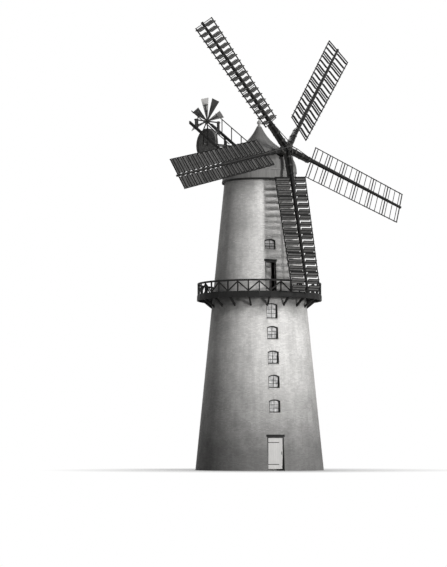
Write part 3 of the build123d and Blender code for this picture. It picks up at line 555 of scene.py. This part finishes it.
class Opening:
    """A window or doorway as the brickwork meets it: how far its edge stands off its middle line."""

    def __init__(self, angle, low, width, height, arched, depth):
        self.angle = angle
        self.low = low
        self.half = width / 2
        self.top = low + height
        self.arched = arched
        self.depth = depth
        if arched:
            self.radius = (self.half**2 + WINDOW_RISE**2) / (2 * WINDOW_RISE)
            self.centre = self.top - self.radius
            self.turn = math.asin(self.half / self.radius)
            self.spring = self.top - WINDOW_RISE
            self.outside = self.radius + STRETCHER
            self.limit = self.centre + self.outside
        else:
            self.limit = self.top + LINTEL_HEIGHT

    def reach(self, height):
        """Half of the gap in the bricks at one height, 0 where they run through."""
        if self.arched:
            if height <= self.spring:
                return self.half - JAMB_LAP
            corner = self.centre + self.outside * math.cos(self.turn)
            if height <= corner:
                share = (height - self.spring) / (corner - self.spring)
                return self.half + (self.outside * math.sin(self.turn) - self.half) * share + JOINT
            if height < self.limit:
                return math.sqrt((self.outside + JOINT) ** 2 - (height - self.centre) ** 2)
            return 0.0
        if height <= self.top:
            return self.half - JAMB_LAP
        return self.half + LINTEL_BEARING + LINTEL_GAP


OPENINGS = []
for column, windows in ((FRONT, FRONT_WINDOWS), (BACK, BACK_WINDOWS)):
    for low, height in windows:
        OPENINGS.append(Opening(column, low, WINDOW_WIDTH, height, True, WINDOW_BRICK_DEPTH))
    for low, width, height in (STAGE_DOOR, GROUND_DOOR):
        foot = low if low == STAGE_LEVEL else 0.0
        OPENINGS.append(Opening(column, foot, width, low + height - foot, False, DOOR_BRICK_DEPTH))


def wrapped(angle):
    return (angle + math.pi) % (2 * math.pi) - math.pi


def lay_brick(walls, start, end, low, high, edges=None, depth=BRICK_DEPTH):
    """Lays one brick. edges gives where its ends are at the front and back of its foot and head."""
    proud = BRICK_PROUD + random.uniform(-BRICK_WOBBLE, BRICK_WOBBLE)
    corners = []
    for height in (low, high):
        front = outer(height) + proud
        back = outer(height) - depth
        for radius, side in ((back, 0), (front, 0), (front, 1), (back, 1)):
            angle = (start, end)[side] if edges is None else edges(radius, height)[side]
            corners.append(round_point(angle, radius, height))
    middle = math.degrees(wrapped((start + end) / 2))
    quarter = int((middle - FRONT_QUARTER_START) % 360 // 90)
    walls[quarter].add(corners)


def clipped_ends(opening, start, end, side):
    """Ends of a brick on one side of an opening, as a function of radius and height."""

    def edges(radius, height):
        angle = math.asin(opening.reach(height) / radius)
        if side < 0:
            return opening.angle + start, opening.angle + max(start, min(end, -angle))
        return opening.angle + min(end, max(start, angle)), opening.angle + end

    return edges


def opening_met(openings, start, end, low, high):
    """The opening that a brick runs into, and the brick's ends as angles from its middle line."""
    met = None
    for opening in openings:
        left = wrapped(start - opening.angle)
        right = left + end - start
        edge = math.asin(max(opening.reach(low), opening.reach(high)) / outer((low + high) / 2))
        if left < edge and right > -edge:
            met = (opening, left, right)
    return met


def lay_beside(walls, met, low, high):
    """Lays what is left of a brick on both sides of an opening."""
    opening, left, right = met
    radius = outer((low + high) / 2)
    inner = math.asin(min(opening.reach(low), opening.reach(high)) / radius)
    for side in (-1, 1):
        length = (min(right, -inner) - left if side < 0 else right - max(left, inner)) * radius
        if length > SHORTEST_BRICK:
            ends = clipped_ends(opening, left, right, side)
            centre = opening.angle + (left if side < 0 else right)
            lay_brick(walls, centre, centre, low, high, ends, opening.depth)


def brickwork():
    """Lays the wall brick by brick, in courses round the tower, clear of each window and door."""
    walls = [Blocks() for _ in QUARTERS]
    for course in range(int(TOWER_HEIGHT / COURSE)):
        low = course * COURSE + JOINT / 2
        high = low + COURSE - JOINT
        middle = (low + high) / 2
        pairs = round(2 * math.pi * outer(middle) / PAIR)
        unit = 2 * math.pi / pairs
        here = [opening for opening in OPENINGS if opening.low < middle < opening.limit]
        for number in range(pairs):
            first = FRONT + (number + 0.5 * (course % 2)) * unit
            for near, far in ((0.0, STRETCHER), (STRETCHER + JOINT, PAIR - JOINT)):
                start = first + near / PAIR * unit
                end = first + far / PAIR * unit
                met = opening_met(here, start, end, low, high)
                if met is None:
                    lay_brick(walls, start, end, low, high)
                else:
                    lay_beside(walls, met, low, high)
    for wall, name in zip(walls, QUARTERS):
        wall.build(f"bricks_{name}", "tower", BRICK, "brick")


def window_arches():
    """Voussoirs on edge over each window, cut to the curve of the wall."""
    heads = Blocks()
    for opening in OPENINGS:
        if not opening.arched:
            continue
        count = round(2 * opening.turn * opening.radius / COURSE)
        unit = 2 * opening.turn / count
        for number in range(count):
            start = -opening.turn + number * unit + JOINT / 2 / opening.radius
            end = start + unit - JOINT / opening.radius
            proud = ARCH_PROUD + random.uniform(0, ARCH_WOBBLE)
            front = []
            for reach, turn in (
                (opening.radius, start),
                (opening.radius, end),
                (opening.outside, end),
                (opening.outside, start),
            ):
                x = reach * math.sin(turn)
                z = opening.centre + reach * math.cos(turn)
                front.append((x, z, math.sqrt((outer(z) + proud) ** 2 - x * x)))
            back = np.array(front) - np.array((0, 0, ARCH_DEPTH))
            heads.add(np.concatenate((back, front)), facing(opening.angle, 0, 0))
    heads.build("window_arches", "tower", BRICK, "brick")


# Windows and doors

# Glazing bars: how far behind the reveal they stand, half of their width, their depth and their gaps
GLASS_SETBACK = 0.018
GLAZING_BAR = 0.015
GLAZING_DEPTH = 0.02
GLAZING_SHIFT = 0.02
HEAD_GAP = 0.003

# A door's boards, ledges, straps and handle. A face or back is a place through the leaf's thickness.
LEAF_GAP = 0.004
DOOR_AJAR = math.radians(40)
DOOR_BOARD = 0.13
DOOR_JOINT = 0.0015
DOOR_STEP = 0.001
BOARD_DROP = 0.002
BOARD_BACK = 0.015
LEDGE_BACK = -0.02
LEDGE_END = 0.14
LEDGE_INSET = 0.05
LEDGE_HALF = 0.07
STRAP_END = 0.3
STRAP_START = 0.01
STRAP_SHARE = 0.75
STRAP_HALF = 0.025
STRAP_FACE = 0.05
IRON_BACK = LEAF_THICKNESS - 0.001
HANDLE_LEVELS = (0.95, 1.15)
HANDLE_INSETS = (0.1, 0.06)
HANDLE_FACE = 0.056
DOOR_EDGE = 0.003


def glazing_bars():
    """Slim bars that divide each window into six panes."""
    bars = Blocks()
    for column, windows in ((FRONT, FRONT_WINDOWS), (BACK, BACK_WINDOWS)):
        for low, height in windows:
            distance = outer(low + height / 2) - WINDOW_REVEAL - GLASS_SETBACK
            place = facing(column, distance, low + SILL_HEIGHT + FRAME_WIDTH)
            half = WINDOW_WIDTH / 2 - FRAME_WIDTH
            tall = height - SILL_HEIGHT - 2 * FRAME_WIDTH
            side = tall - FRAME_RISE
            bars.box((-GLAZING_BAR, 0, -GLAZING_DEPTH), (GLAZING_BAR, tall - HEAD_GAP, 0), place)
            for share in (1 / 3, 2 / 3):
                middle = side * share + GLAZING_SHIFT * share
                below, above = middle - GLAZING_BAR, middle + GLAZING_BAR
                bars.box((-half, below, -GLAZING_DEPTH), (half, above, 0), place)
    bars.build("glazing_bars", "tower", DARK_PAINT, "dark_paint")


def door_leaf(leaves, place, leaf, tall):
    """One door: boards in front, ledges behind them, two straps and a handle."""
    count = round(leaf / DOOR_BOARD)
    board = leaf / count
    for number in range(count):
        face = LEAF_THICKNESS - BOARD_DROP + DOOR_STEP * (number % 2)
        near = number * board + DOOR_JOINT
        far = (number + 1) * board - DOOR_JOINT
        leaves.box((near, 0, BOARD_BACK), (far, tall, face), place)
    for level in (LEDGE_END, tall / 2, tall - LEDGE_END):
        low = (LEDGE_INSET, level - LEDGE_HALF, LEDGE_BACK)
        high = (leaf - LEDGE_INSET, level + LEDGE_HALF, BOARD_BACK)
        leaves.box(low, high, place)
    for level in (STRAP_END, tall - STRAP_END):
        low = (STRAP_START, level - STRAP_HALF, IRON_BACK)
        high = (leaf * STRAP_SHARE, level + STRAP_HALF, STRAP_FACE)
        leaves.box(low, high, place, mark=1)
    low = (leaf - HANDLE_INSETS[0], HANDLE_LEVELS[0], IRON_BACK)
    high = (leaf - HANDLE_INSETS[1], HANDLE_LEVELS[1], HANDLE_FACE)
    leaves.box(low, high, place, mark=1)


def boarded_doors():
    """Ledged doors of upright boards with strap hinges. The front one on the stage stands ajar."""
    leaves = Blocks()
    for column in (FRONT, BACK):
        for low, width, height in (STAGE_DOOR, GROUND_DOOR):
            face = outer(low + height / 2) - DOOR_REVEAL - 2 * LEAF_THICKNESS
            leaf = width - 2 * DOOR_FRAME_WIDTH - LEAF_GAP
            tall = height - DOOR_FRAME_WIDTH - LEAF_GAP
            place = facing(column, face, low + LEAF_GAP / 2) @ Matrix.Translation((-leaf / 2, 0, 0))
            if column == FRONT and low == STAGE_LEVEL:
                place = place @ Matrix.Rotation(DOOR_AJAR, 4, "Y")
            door_leaf(leaves, place, leaf, tall)
    leaves.build("boarded_doors", "tower", [DOOR_PAINT, IRON], "white_paint", ("doors",), DOOR_EDGE)


# Stage

# The stage's boards, the joints between them, how far they sag and the gaps round them
STAGE_BOARD = 0.16
STAGE_JOINT = 0.004
STAGE_SAG = 0.004
WALL_GAP = 0.006
MITRE_GAP = 0.003
DECK_SEAT = 0.001


def stage_boards():
    """Boards along each side of the stage, with open joints between them."""
    boards = Blocks()
    half = math.pi / STAGE_BAYS
    inside = outer(STAGE_LEVEL - DECK_THICKNESS) + WALL_GAP
    outside = STAGE_RADIUS * math.cos(half)
    count = round((outside - inside) / STAGE_BOARD)
    width = (outside - inside) / count
    low = STAGE_LEVEL - DECK_THICKNESS + DECK_SEAT
    for bay in range(STAGE_BAYS):
        angle = STAGE_FIRST_POST + (2 * bay + 1) * half
        place = Matrix.Rotation(angle, 4, "Z")
        for number in range(count):
            near = inside + number * width + (STAGE_JOINT if number else 0.0)
            far = inside + (number + 1) * width - STAGE_JOINT
            high = STAGE_LEVEL - random.uniform(0, STAGE_SAG)
            a = near * math.tan(half) - MITRE_GAP
            b = far * math.tan(half) - MITRE_GAP
            corners = [
                (reach, side, height)
                for height in (low, high)
                for reach, side in ((near, -a), (far, -b), (far, b), (near, a))
            ]
            boards.add(corners, place)
    boards.build("stage_boards", "tower", TARRED, "tarred_timber", ("stage_deck",))


# Cap

# Steps of each bend of the roof's outline, and the hole in the roof for the windshaft
PROFILE_STEPS = 9
HOLE_SIDES = 48
HOLE_DEPTH = 3.0
HOLE_SHIFT = -0.2

# Roof boards and the lining under them
ROOF_BOARDS = 60
ROOF_BOARD_THICKNESS = 0.028
ROOF_STEP = 0.003
ROOF_JOINT = 0.0022
LINING_SIDES = 60
LINING_DEPTHS = (-0.03, -0.075)
LINING_LEAST_RADIUS = 0.05

# The skirt's boards, the drip board at their foot, tarred dark as a painted shadow line, and the moulding at
# the eaves
SKIRT_BOARDS = 120
SKIRT_JOINT = 0.0012
SKIRT_STEP = 0.004
SKIRT_INSIDE = 2.5
SKIRT_OUTSIDE = 2.545
SKIRT_LEVELS = (SKIRT_BOTTOM + 0.1, EAVES_LEVEL + 0.01)
DRIP_OUTSIDE = 2.585
DRIP_LEVELS = (SKIRT_BOTTOM, SKIRT_BOTTOM + 0.12)
DRIP_JOINT = 0.0006
MOULDING_INSIDE = 2.53
MOULDING_OUTSIDE = 2.605
MOULDING_LEVELS = (EAVES_LEVEL - 0.08, EAVES_LEVEL + 0.015)

# The finial's profile, as radius and height above its foot. Its ball starts and turns by shares of a half
# turn.
FINIAL_SIDES = 32
FINIAL_FOOT = [(0.0, 0.0), (0.165, 0.0), (0.16, 0.05), (0.12, 0.09), (0.085, 0.14), (0.08, 0.17)]
FINIAL_SPIKE = [(0.05, 0.47), (0.035, 0.52), (0.022, 0.65), (0.01, 0.775), (0.0, 0.78)]
BALL_RADIUS = 0.15
BALL_LEVEL = 0.32
BALL_STEPS = 8
BALL_START = 0.14
BALL_TURN = 0.74


def ogee_profile(steps):
    """The roof's outline from the eaves to the neck, as radius and height."""
    centre = (EAVES_RADIUS - SHOULDER_RADIUS, EAVES_LEVEL)
    points = []
    for step in range(steps + 1):
        turn = SHOULDER_TURN * step / steps
        radius = centre[0] + SHOULDER_RADIUS * math.cos(turn)
        points.append((radius, centre[1] + SHOULDER_RADIUS * math.sin(turn)))
    bend = points[-1]
    hollow = (
        bend[0] + HOLLOW_RADIUS * math.cos(SHOULDER_TURN),
        bend[1] + HOLLOW_RADIUS * math.sin(SHOULDER_TURN),
    )
    for step in range(1, steps + 1):
        turn = SHOULDER_TURN - HOLLOW_TURN * step / steps
        radius = hollow[0] - HOLLOW_RADIUS * math.cos(turn)
        points.append((radius, hollow[1] - HOLLOW_RADIUS * math.sin(turn)))
    return points


PROFILE = ogee_profile(PROFILE_STEPS)
NECK = PROFILE[-1]


def profile_normals():
    found = []
    for number in range(len(PROFILE)):
        before = PROFILE[max(0, number - 1)]
        after = PROFILE[min(len(PROFILE) - 1, number + 1)]
        run, rise = after[0] - before[0], after[1] - before[1]
        length = math.hypot(run, rise)
        found.append((rise / length, -run / length))
    return found


def shaft_frame():
    """x up along the face of the sails, z out along the windshaft."""
    rise = math.sin(SHAFT_TILT)
    flat = math.cos(SHAFT_TILT)
    return frame_matrix((0, rise, flat), (0, -flat, rise), HUB)


def cut_shaft_hole(made):
    bpy.ops.mesh.primitive_cylinder_add(vertices=HOLE_SIDES, radius=SHAFT_HOLE_RADIUS, depth=HOLE_DEPTH)
    cutter = bpy.context.object
    cutter.matrix_world = shaft_frame() @ Matrix.Translation((0, 0, HOLE_SHIFT))
    cut = made.modifiers.new("shaft_hole", "BOOLEAN")
    cut.operation = "DIFFERENCE"
    cut.object = cutter
    cut.solver = "EXACT"
    bpy.context.view_layer.update()
    graph = bpy.context.evaluated_depsgraph_get()
    mesh = bpy.data.meshes.new_from_object(made.evaluated_get(graph))
    made.modifiers.clear()
    made.data = mesh
    bpy.data.objects.remove(cutter)


def roof_boards():
    """Tapered boards bent over the ogee."""
    normals = profile_normals()
    points, faces = [], []
    for board in range(ROOF_BOARDS):
        middle = 2 * math.pi * (board + 0.5) / ROOF_BOARDS
        start = len(points)
        proud = ROOF_STEP * (board % 2)
        for (radius, height), (out, up) in zip(PROFILE, normals):
            half = math.pi / ROOF_BOARDS - ROOF_JOINT / radius
            for angle in (middle - half, middle + half):
                for rise in (proud - ROOF_BOARD_THICKNESS, proud):
                    points.append(round_point(angle, radius + out * rise, height + up * rise))
        last = len(PROFILE) - 1
        for step in range(last):
            a = start + 4 * step
            b = a + 4
            faces += [(a + 1, a + 3, b + 3, b + 1), (a + 2, a, b, b + 2)]
            faces += [(a, a + 1, b + 1, b), (a + 3, a + 2, b + 2, b + 3)]
        end = start + 4 * last
        faces += [(start, start + 2, start + 3, start + 1), (end, end + 1, end + 3, end + 2)]
    boards = add_object("roof_boards", points, faces, "cap", CAP_BOARD, ("cap_roof",))
    cut_shaft_hole(boards)


def roof_lining():
    """A close lining under the roof boards."""
    ring = LINING_SIDES
    points, faces = [], []
    for (radius, height), (out, up) in zip(PROFILE, profile_normals()):
        for rise in LINING_DEPTHS:
            for step in range(ring):
                reach = max(LINING_LEAST_RADIUS, radius + out * rise)
                points.append(round_point(2 * math.pi * step / ring, reach, height + up * rise))
    rows = len(PROFILE)
    for row in range(rows - 1):
        for step in range(ring):
            after = (step + 1) % ring
            a, b = 2 * row * ring, 2 * (row + 1) * ring
            faces.append((a + step, a + after, b + after, b + step))
            a, b = a + ring, b + ring
            faces.append((a + after, a + step, b + step, b + after))
    for step in range(ring):
        after = (step + 1) % ring
        faces.append((ring + step, ring + after, after, step))
        top = 2 * (rows - 1) * ring
        faces.append((top + step, top + after, top + ring + after, top + ring + step))
    lining = add_object("roof_lining", points, faces, "cap", BARE_OAK)
    cut_shaft_hole(lining)


def skirt_piece(boards, middle, half, levels, inside, outside, mark=0):
    """One board of the skirt, between two levels and two radii."""
    corners = [
        round_point(middle + side * half, radius, height)
        for height in levels
        for radius, side in ((inside, -1), (outside, -1), (outside, 1), (inside, 1))
    ]
    boards.add(corners, mark=mark)


def skirt_boards():
    """Upright boards round the foot of the cap, with a drip board below, tarred dark as a painted shadow
    line, and a moulding at the eaves.
    """
    boards = Blocks()
    for number in range(SKIRT_BOARDS):
        middle = 2 * math.pi * (number + 0.5) / SKIRT_BOARDS
        half = math.pi / SKIRT_BOARDS - SKIRT_JOINT
        outside = SKIRT_OUTSIDE + SKIRT_STEP * (number % 2)
        skirt_piece(boards, middle, half, SKIRT_LEVELS, SKIRT_INSIDE, outside)
        # The drip board is tarred dark: a painted shadow line under the skirt
        if number % 2 == 0:
            centre = middle + math.pi / SKIRT_BOARDS
            spread = 2 * math.pi / SKIRT_BOARDS - DRIP_JOINT
            skirt_piece(boards, centre, spread, DRIP_LEVELS, SKIRT_INSIDE, DRIP_OUTSIDE, mark=1)
        skirt_piece(boards, middle, half, MOULDING_LEVELS, MOULDING_INSIDE, MOULDING_OUTSIDE)
    boards.build("skirt_boards", "cap", [SKIRT_BOARD, TARRED], "cap_boards", ("cap_skirt",))


def turned_finial():
    """A turned finial: a bell foot, a slim neck, a ball and a spike."""
    base = NECK[1]
    shape = list(FINIAL_FOOT)
    for step in range(BALL_STEPS + 1):
        turn = math.pi * (BALL_START + BALL_TURN * step / BALL_STEPS)
        shape.append((BALL_RADIUS * math.sin(turn), BALL_LEVEL - BALL_RADIUS * math.cos(turn)))
    shape += FINIAL_SPIKE
    ring = FINIAL_SIDES
    points = [(0, 0, base)]
    for radius, height in shape[1:-1]:
        points += [round_point(2 * math.pi * step / ring, radius, base + height) for step in range(ring)]
    points.append((0, 0, base + shape[-1][1]))
    faces = []
    rows = len(shape) - 2
    for step in range(ring):
        after = (step + 1) % ring
        faces.append((0, 1 + after, 1 + step))
        for row in range(rows - 1):
            a, b = 1 + row * ring, 1 + (row + 1) * ring
            faces.append((a + step, a + after, b + after, b + step))
        top = 1 + (rows - 1) * ring
        faces.append((top + step, top + after, len(points) - 1))
    replaced = ("cap_finial",)
    add_object("turned_finial", points, faces, "cap", FINIAL_PAINT, replaced, smooth=True)


# Sails

# Shutters in a bay, the whip's taper as in the frame, and the gaps beside the shutters
BAY_SHUTTERS = 3
WHIP_ROOT = 0.23
WHIP_TAPER = 0.1
WHIP_START = 0.3
WHIP_LENGTH = 10.03
WHIP_GAP = 0.008
LATH_GAP = 0.001

# A shutter's trim at both edges, half thicknesses of its timbers and canvas, and its other sizes
SHUTTER_TRIM = 0.0095
SHUTTER_RAIL = 0.019
SHUTTER_STILE = 0.017
PIVOT_RAIL = 0.026
CANVAS_HALF = 0.006
RAIL_WIDTH = 0.035
PIVOT_GAP = 0.002
CANVAS_INSET = 0.03


def sail_frame(number):
    """x out along the whip, y to the leading edge and z forwards."""
    turn = FIRST_SAIL + number * 2 * math.pi / SAIL_COUNT
    return shaft_frame() @ Matrix.Rotation(-turn, 4, "Z")


def weather(reach):
    share = (reach - SAIL_HEEL) / (SAIL_BAYS * BAY_LENGTH)
    return HEEL_WEATHER + (TIP_WEATHER - HEEL_WEATHER) * share


def whip_width(reach):
    return WHIP_ROOT - WHIP_TAPER * (reach - WHIP_START) / WHIP_LENGTH


def shutter(frames, cloth, place, near, far):
    """One shutter: two rails, two stiles and a pivot rail round a panel of canvas."""
    half = SHUTTER_DEPTH / 2 - SHUTTER_TRIM
    inside = half - RAIL_WIDTH
    for low, high in ((-half, -half + RAIL_WIDTH), (inside, half)):
        frames.box((low, near, -SHUTTER_RAIL), (high, far, SHUTTER_RAIL), place)
    for low, high in ((near, near + RAIL_WIDTH), (far - RAIL_WIDTH, far)):
        frames.box((-half + RAIL_WIDTH, low, -SHUTTER_STILE), (inside, high, SHUTTER_STILE), place)
    low = (-PIVOT_RAIL, near + PIVOT_GAP, -PIVOT_RAIL)
    high = (PIVOT_RAIL, far - PIVOT_GAP, PIVOT_RAIL)
    frames.box(low, high, place)
    low = (-half + CANVAS_INSET, near + CANVAS_INSET, -CANVAS_HALF)
    high = (half - CANVAS_INSET, far - CANVAS_INSET, CANVAS_HALF)
    cloth.box(low, high, place)


def shutters():
    """Shutters on both sides of each whip, standing open between it and the hemlaths."""
    swing = SHUTTER_DEPTH / 2 * math.sin(SHUTTER_OPENING)
    for number in range(SAIL_COUNT):
        frames, cloth = Blocks(), Blocks()
        for row in range(SAIL_BAYS * BAY_SHUTTERS):
            reach = SAIL_HEEL + (row + 0.5) * BAY_LENGTH / BAY_SHUTTERS
            turn = weather(reach)
            inner = (whip_width(reach) / 2 + swing * math.sin(turn) + WHIP_GAP) / math.cos(turn)
            place = (
                sail_frame(number)
                @ Matrix.Translation((reach, 0, SAIL_OFFSET))
                @ Matrix.Rotation(turn, 4, "X")
                @ Matrix.Rotation(SHUTTER_OPENING, 4, "Y")
            )
            shutter(frames, cloth, place, inner, LEADING_WIDTH - LATH_WIDTH - LATH_GAP)
            shutter(frames, cloth, place, -TRAILING_WIDTH + LATH_WIDTH + LATH_GAP, -inner)
        label = number + 1
        replaced = ("sail_shutters",) if number == 0 else ()
        frames.build(f"shutter_frames_{label}", "sails", SHUTTER_FRAME, "sail_timber", replaced)
        cloth.build(f"shutter_cloth_{label}", "sails", CANVAS, "shutter_cloth")


# Fan

# Blades, stocks and battens, with half of their widths. A face or back is a place through the blade.
BLADE_ROOT = 0.171
BLADE_BOARDS = 3
BLADE_ROOT_HALF = 0.045
BLADE_TIP_HALF = 0.29
BLADE_BACK = -0.011
BLADE_FACE = 0.009
BLADE_STEP = 0.0015
BLADE_JOINT = 0.001
STOCK_END = 1.25
STOCK_HALF = 0.03
STOCK_BACK = -0.07
BATTENS = (0.75, 1.2)
BATTEN_HALF = 0.03
BATTEN_INSET = 0.01
BATTEN_BACK = -0.03
BATTEN_FACE = -0.0105


def fan_frame(turn):
    base = frame_matrix((0, 0, 1), (1, 0, 0), FAN_HUB)
    return base @ Matrix.Rotation(turn, 4, "Z") @ Matrix.Rotation(BLADE_PITCH, 4, "X")


def blade_half(reach):
    share = (reach - BLADE_ROOT) / (FAN_RADIUS - BLADE_ROOT)
    return BLADE_ROOT_HALF + (BLADE_TIP_HALF - BLADE_ROOT_HALF) * share


def fan_blades():
    """Blades of three tapered boards on a stock, held by two cross battens."""
    blades = Blocks()
    root, tip = BLADE_ROOT, FAN_RADIUS
    for number in range(FAN_BLADES):
        place = fan_frame(FIRST_BLADE + number * 2 * math.pi / FAN_BLADES)
        for board in range(BLADE_BOARDS):
            low, high = -1 + 2 * board / BLADE_BOARDS, -1 + 2 * (board + 1) / BLADE_BOARDS
            a0 = low * blade_half(root) + BLADE_JOINT
            a1 = high * blade_half(root) - BLADE_JOINT
            b0 = low * blade_half(tip) + BLADE_JOINT
            b1 = high * blade_half(tip) - BLADE_JOINT
            corners = [
                (reach, side, level)
                for level in (BLADE_BACK, BLADE_FACE + BLADE_STEP * (board % 2))
                for reach, side in ((root, a0), (tip, b0), (tip, b1), (root, a1))
            ]
            blades.add(corners, place, mark=number % 2)
        blades.box((root, -STOCK_HALF, STOCK_BACK), (STOCK_END, STOCK_HALF, BLADE_BACK), place, mark=2)
        for reach in BATTENS:
            half = blade_half(reach)
            low = (reach - BATTEN_HALF, -half + BATTEN_INSET, BATTEN_BACK)
            high = (reach + BATTEN_HALF, half - BATTEN_INSET, BATTEN_FACE)
            blades.box(low, high, place, mark=2)
    materials = [PALE_BLADE, DARK_BLADE, DARK_BLADE]
    blades.build("boarded_fan_blades", "fan", materials, "fan_boards", ("fan_blades",))


brickwork()
window_arches()
glazing_bars()
boarded_doors()
stage_boards()
roof_boards()
roof_lining()
skirt_boards()
turned_finial()
shutters()
fan_blades()

# Pieces of the frame that stay: their materials, and the width of their bevels in metres
NODE_PAINT = {
    "tower_wall": (MORTAR, 0.0),
    "tower_floors": (FLOOR_BOARD, 0.0),
    "tower_curb": (BARE_OAK, 0.008),
    "stage_": (TARRED, 0.006),
    "window_frames": (DARK_PAINT, 0.004),
    "window_glass": (GLASS, 0.0),
    "window_sills": (STONE, 0.008),
    "door_frames": (DARK_PAINT, 0.004),
    "door_lintels": (TARRED, 0.006),
    "cap_": (BARE_OAK, 0.008),
    "shaft_bearings": (IRON, 0.008),
    "windshaft": (IRON, 0.01),
    "sail_cross": (IRON, 0.012),
    "sail_clamps": (IRON, 0.003),
    "striking_gear": (IRON, 0.003),
    "sail_": (SAIL_TIMBER, 0.006),
    "fan_spindle": (IRON, 0.004),
    "fan_bearings": (IRON, 0.008),
    "fan_": (TARRED, 0.008),
    "wheel_hangers": (IRON, 0.006),
    "chain_wheel": (WHEEL_TIMBER, 0.006),
}
for name, node in nodes.items():
    if node.hide_render:
        continue
    prefix = max((key for key in NODE_PAINT if name.startswith(key)), key=len)
    paint, width = NODE_PAINT[prefix]
    node.data.materials.clear()
    node.data.materials.append(paint)
    if width:
        soften(node, width)


# Floor, light and camera

FLOOR_SIZE = 1600
FLOOR_DARK = 0.6
FLOOR_PALE = 0.66
FLOOR_WARMTH = 0.005

# Metres from the middle where the floor starts and ends its fade to white, and the share of white there
FLOOR_FADE = (6.0, 15.0, 0.2, 1.0)

# Each lamp: the way towards it, its strength and its width in degrees
LAMPS = {
    "main_light": ((0.045, -0.905, 0.423), 1.35, 8),
    "low_light": ((0.045, -0.997, 0.05), 1.85, 8),
    "back_light": ((0.42, 0.78, 0.46), 1.7, 40),
}
LAMP_DISTANCE = 80
SKY_COLOUR = (0.97, 0.98, 1.0, 1.0)
SKY_STRENGTH = 0.17
WHITE = (1, 1, 1, 1)

LENS = 129.4
SENSOR_WIDTH = 36
FARTHEST = 3000
CAMERA_PLACE = Vector((-88.5, -108.5, 1.6))
CAMERA_AIM = Vector((-1.92, 1.55, 12.81))


def pale_floor():
    """A pale floor that shows the mill's shadow and fades to white for the camera further out."""
    bpy.ops.mesh.primitive_plane_add(size=FLOOR_SIZE)
    floor = bpy.context.object
    floor.name = "floor"
    paint = Paint("floor_paint", roughness=0.95)
    tree = paint.tree
    away = paint.vector("LENGTH", paint.place)
    colour = paint.tone(
        paint.noise(scale=0.15), grey(FLOOR_DARK, FLOOR_WARMTH), grey(FLOOR_PALE, FLOOR_WARMTH)
    )
    paint.put(paint.shader.inputs["Base Color"], colour)
    light = paint.node("ShaderNodeEmission", {"Color": WHITE, "Strength": 1.0})
    path = paint.node("ShaderNodeLightPath")
    seen = paint.calculate("MAXIMUM", path.outputs["Is Camera Ray"], path.outputs["Is Glossy Ray"])
    seen = paint.calculate("MAXIMUM", seen, path.outputs["Is Transmission Ray"])
    share = paint.product(seen, paint.span(away, *FLOOR_FADE))
    mixed = paint.node("ShaderNodeMixShader", {0: share, 1: paint.shader.outputs[0], 2: light.outputs[0]})
    out = next(node for node in tree.nodes if node.type == "OUTPUT_MATERIAL")
    tree.links.new(mixed.outputs[0], out.inputs["Surface"])
    floor.data.materials.append(paint.material)
    floor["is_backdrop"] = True


def sun_lamp(name, toward, energy, width):
    data = bpy.data.lights.new(name, "SUN")
    data.energy = energy
    data.angle = math.radians(width)
    lamp = bpy.data.objects.new(name, data)
    lamp.rotation_euler = (-Vector(toward)).to_track_quat("-Z", "Y").to_euler()
    lamp.location = Vector(toward) * LAMP_DISTANCE
    bpy.context.scene.collection.objects.link(lamp)


def world_light(tree, colour, strength):
    made = tree.nodes.new("ShaderNodeBackground")
    made.inputs["Color"].default_value = colour
    made.inputs["Strength"].default_value = strength
    return made


def larger(tree, first, second):
    made = tree.nodes.new("ShaderNodeMath")
    made.operation = "MAXIMUM"
    tree.links.new(first, made.inputs[0])
    tree.links.new(second, made.inputs[1])
    return made.outputs[0]


def studio_light():
    """Two lights from in front of the sails, one low, a wide one from behind and a weak soft sky."""
    for name, (toward, energy, width) in LAMPS.items():
        sun_lamp(name, toward, energy, width)
    world = bpy.data.worlds.new("studio")
    bpy.context.scene.world = world
    world.use_nodes = True
    tree = world.node_tree
    tree.nodes.clear()
    path = tree.nodes.new("ShaderNodeLightPath").outputs
    seen = larger(tree, path["Is Camera Ray"], path["Is Glossy Ray"])
    seen = larger(tree, seen, path["Is Transmission Ray"])
    soft = world_light(tree, SKY_COLOUR, SKY_STRENGTH)
    white = world_light(tree, WHITE, 1.0)
    mixed = tree.nodes.new("ShaderNodeMixShader")
    tree.links.new(seen, mixed.inputs[0])
    tree.links.new(soft.outputs[0], mixed.inputs[1])
    tree.links.new(white.outputs[0], mixed.inputs[2])
    out = tree.nodes.new("ShaderNodeOutputWorld")
    tree.links.new(mixed.outputs[0], out.inputs["Surface"])


def picture_camera():
    """The photograph's view: a long lens near the ground, tipped up towards the middle of the mill."""
    data = bpy.data.cameras.new("camera")
    data.lens = LENS
    data.sensor_width = SENSOR_WIDTH
    data.clip_end = FARTHEST
    camera = bpy.data.objects.new("camera", data)
    camera.location = CAMERA_PLACE
    camera.rotation_euler = (CAMERA_AIM - CAMERA_PLACE).to_track_quat("-Z", "Y").to_euler()
    bpy.context.scene.collection.objects.link(camera)
    bpy.context.scene.camera = camera


pale_floor()
studio_light()
picture_camera()
bpy.context.scene.view_settings.view_transform = "Standard"

low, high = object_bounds()
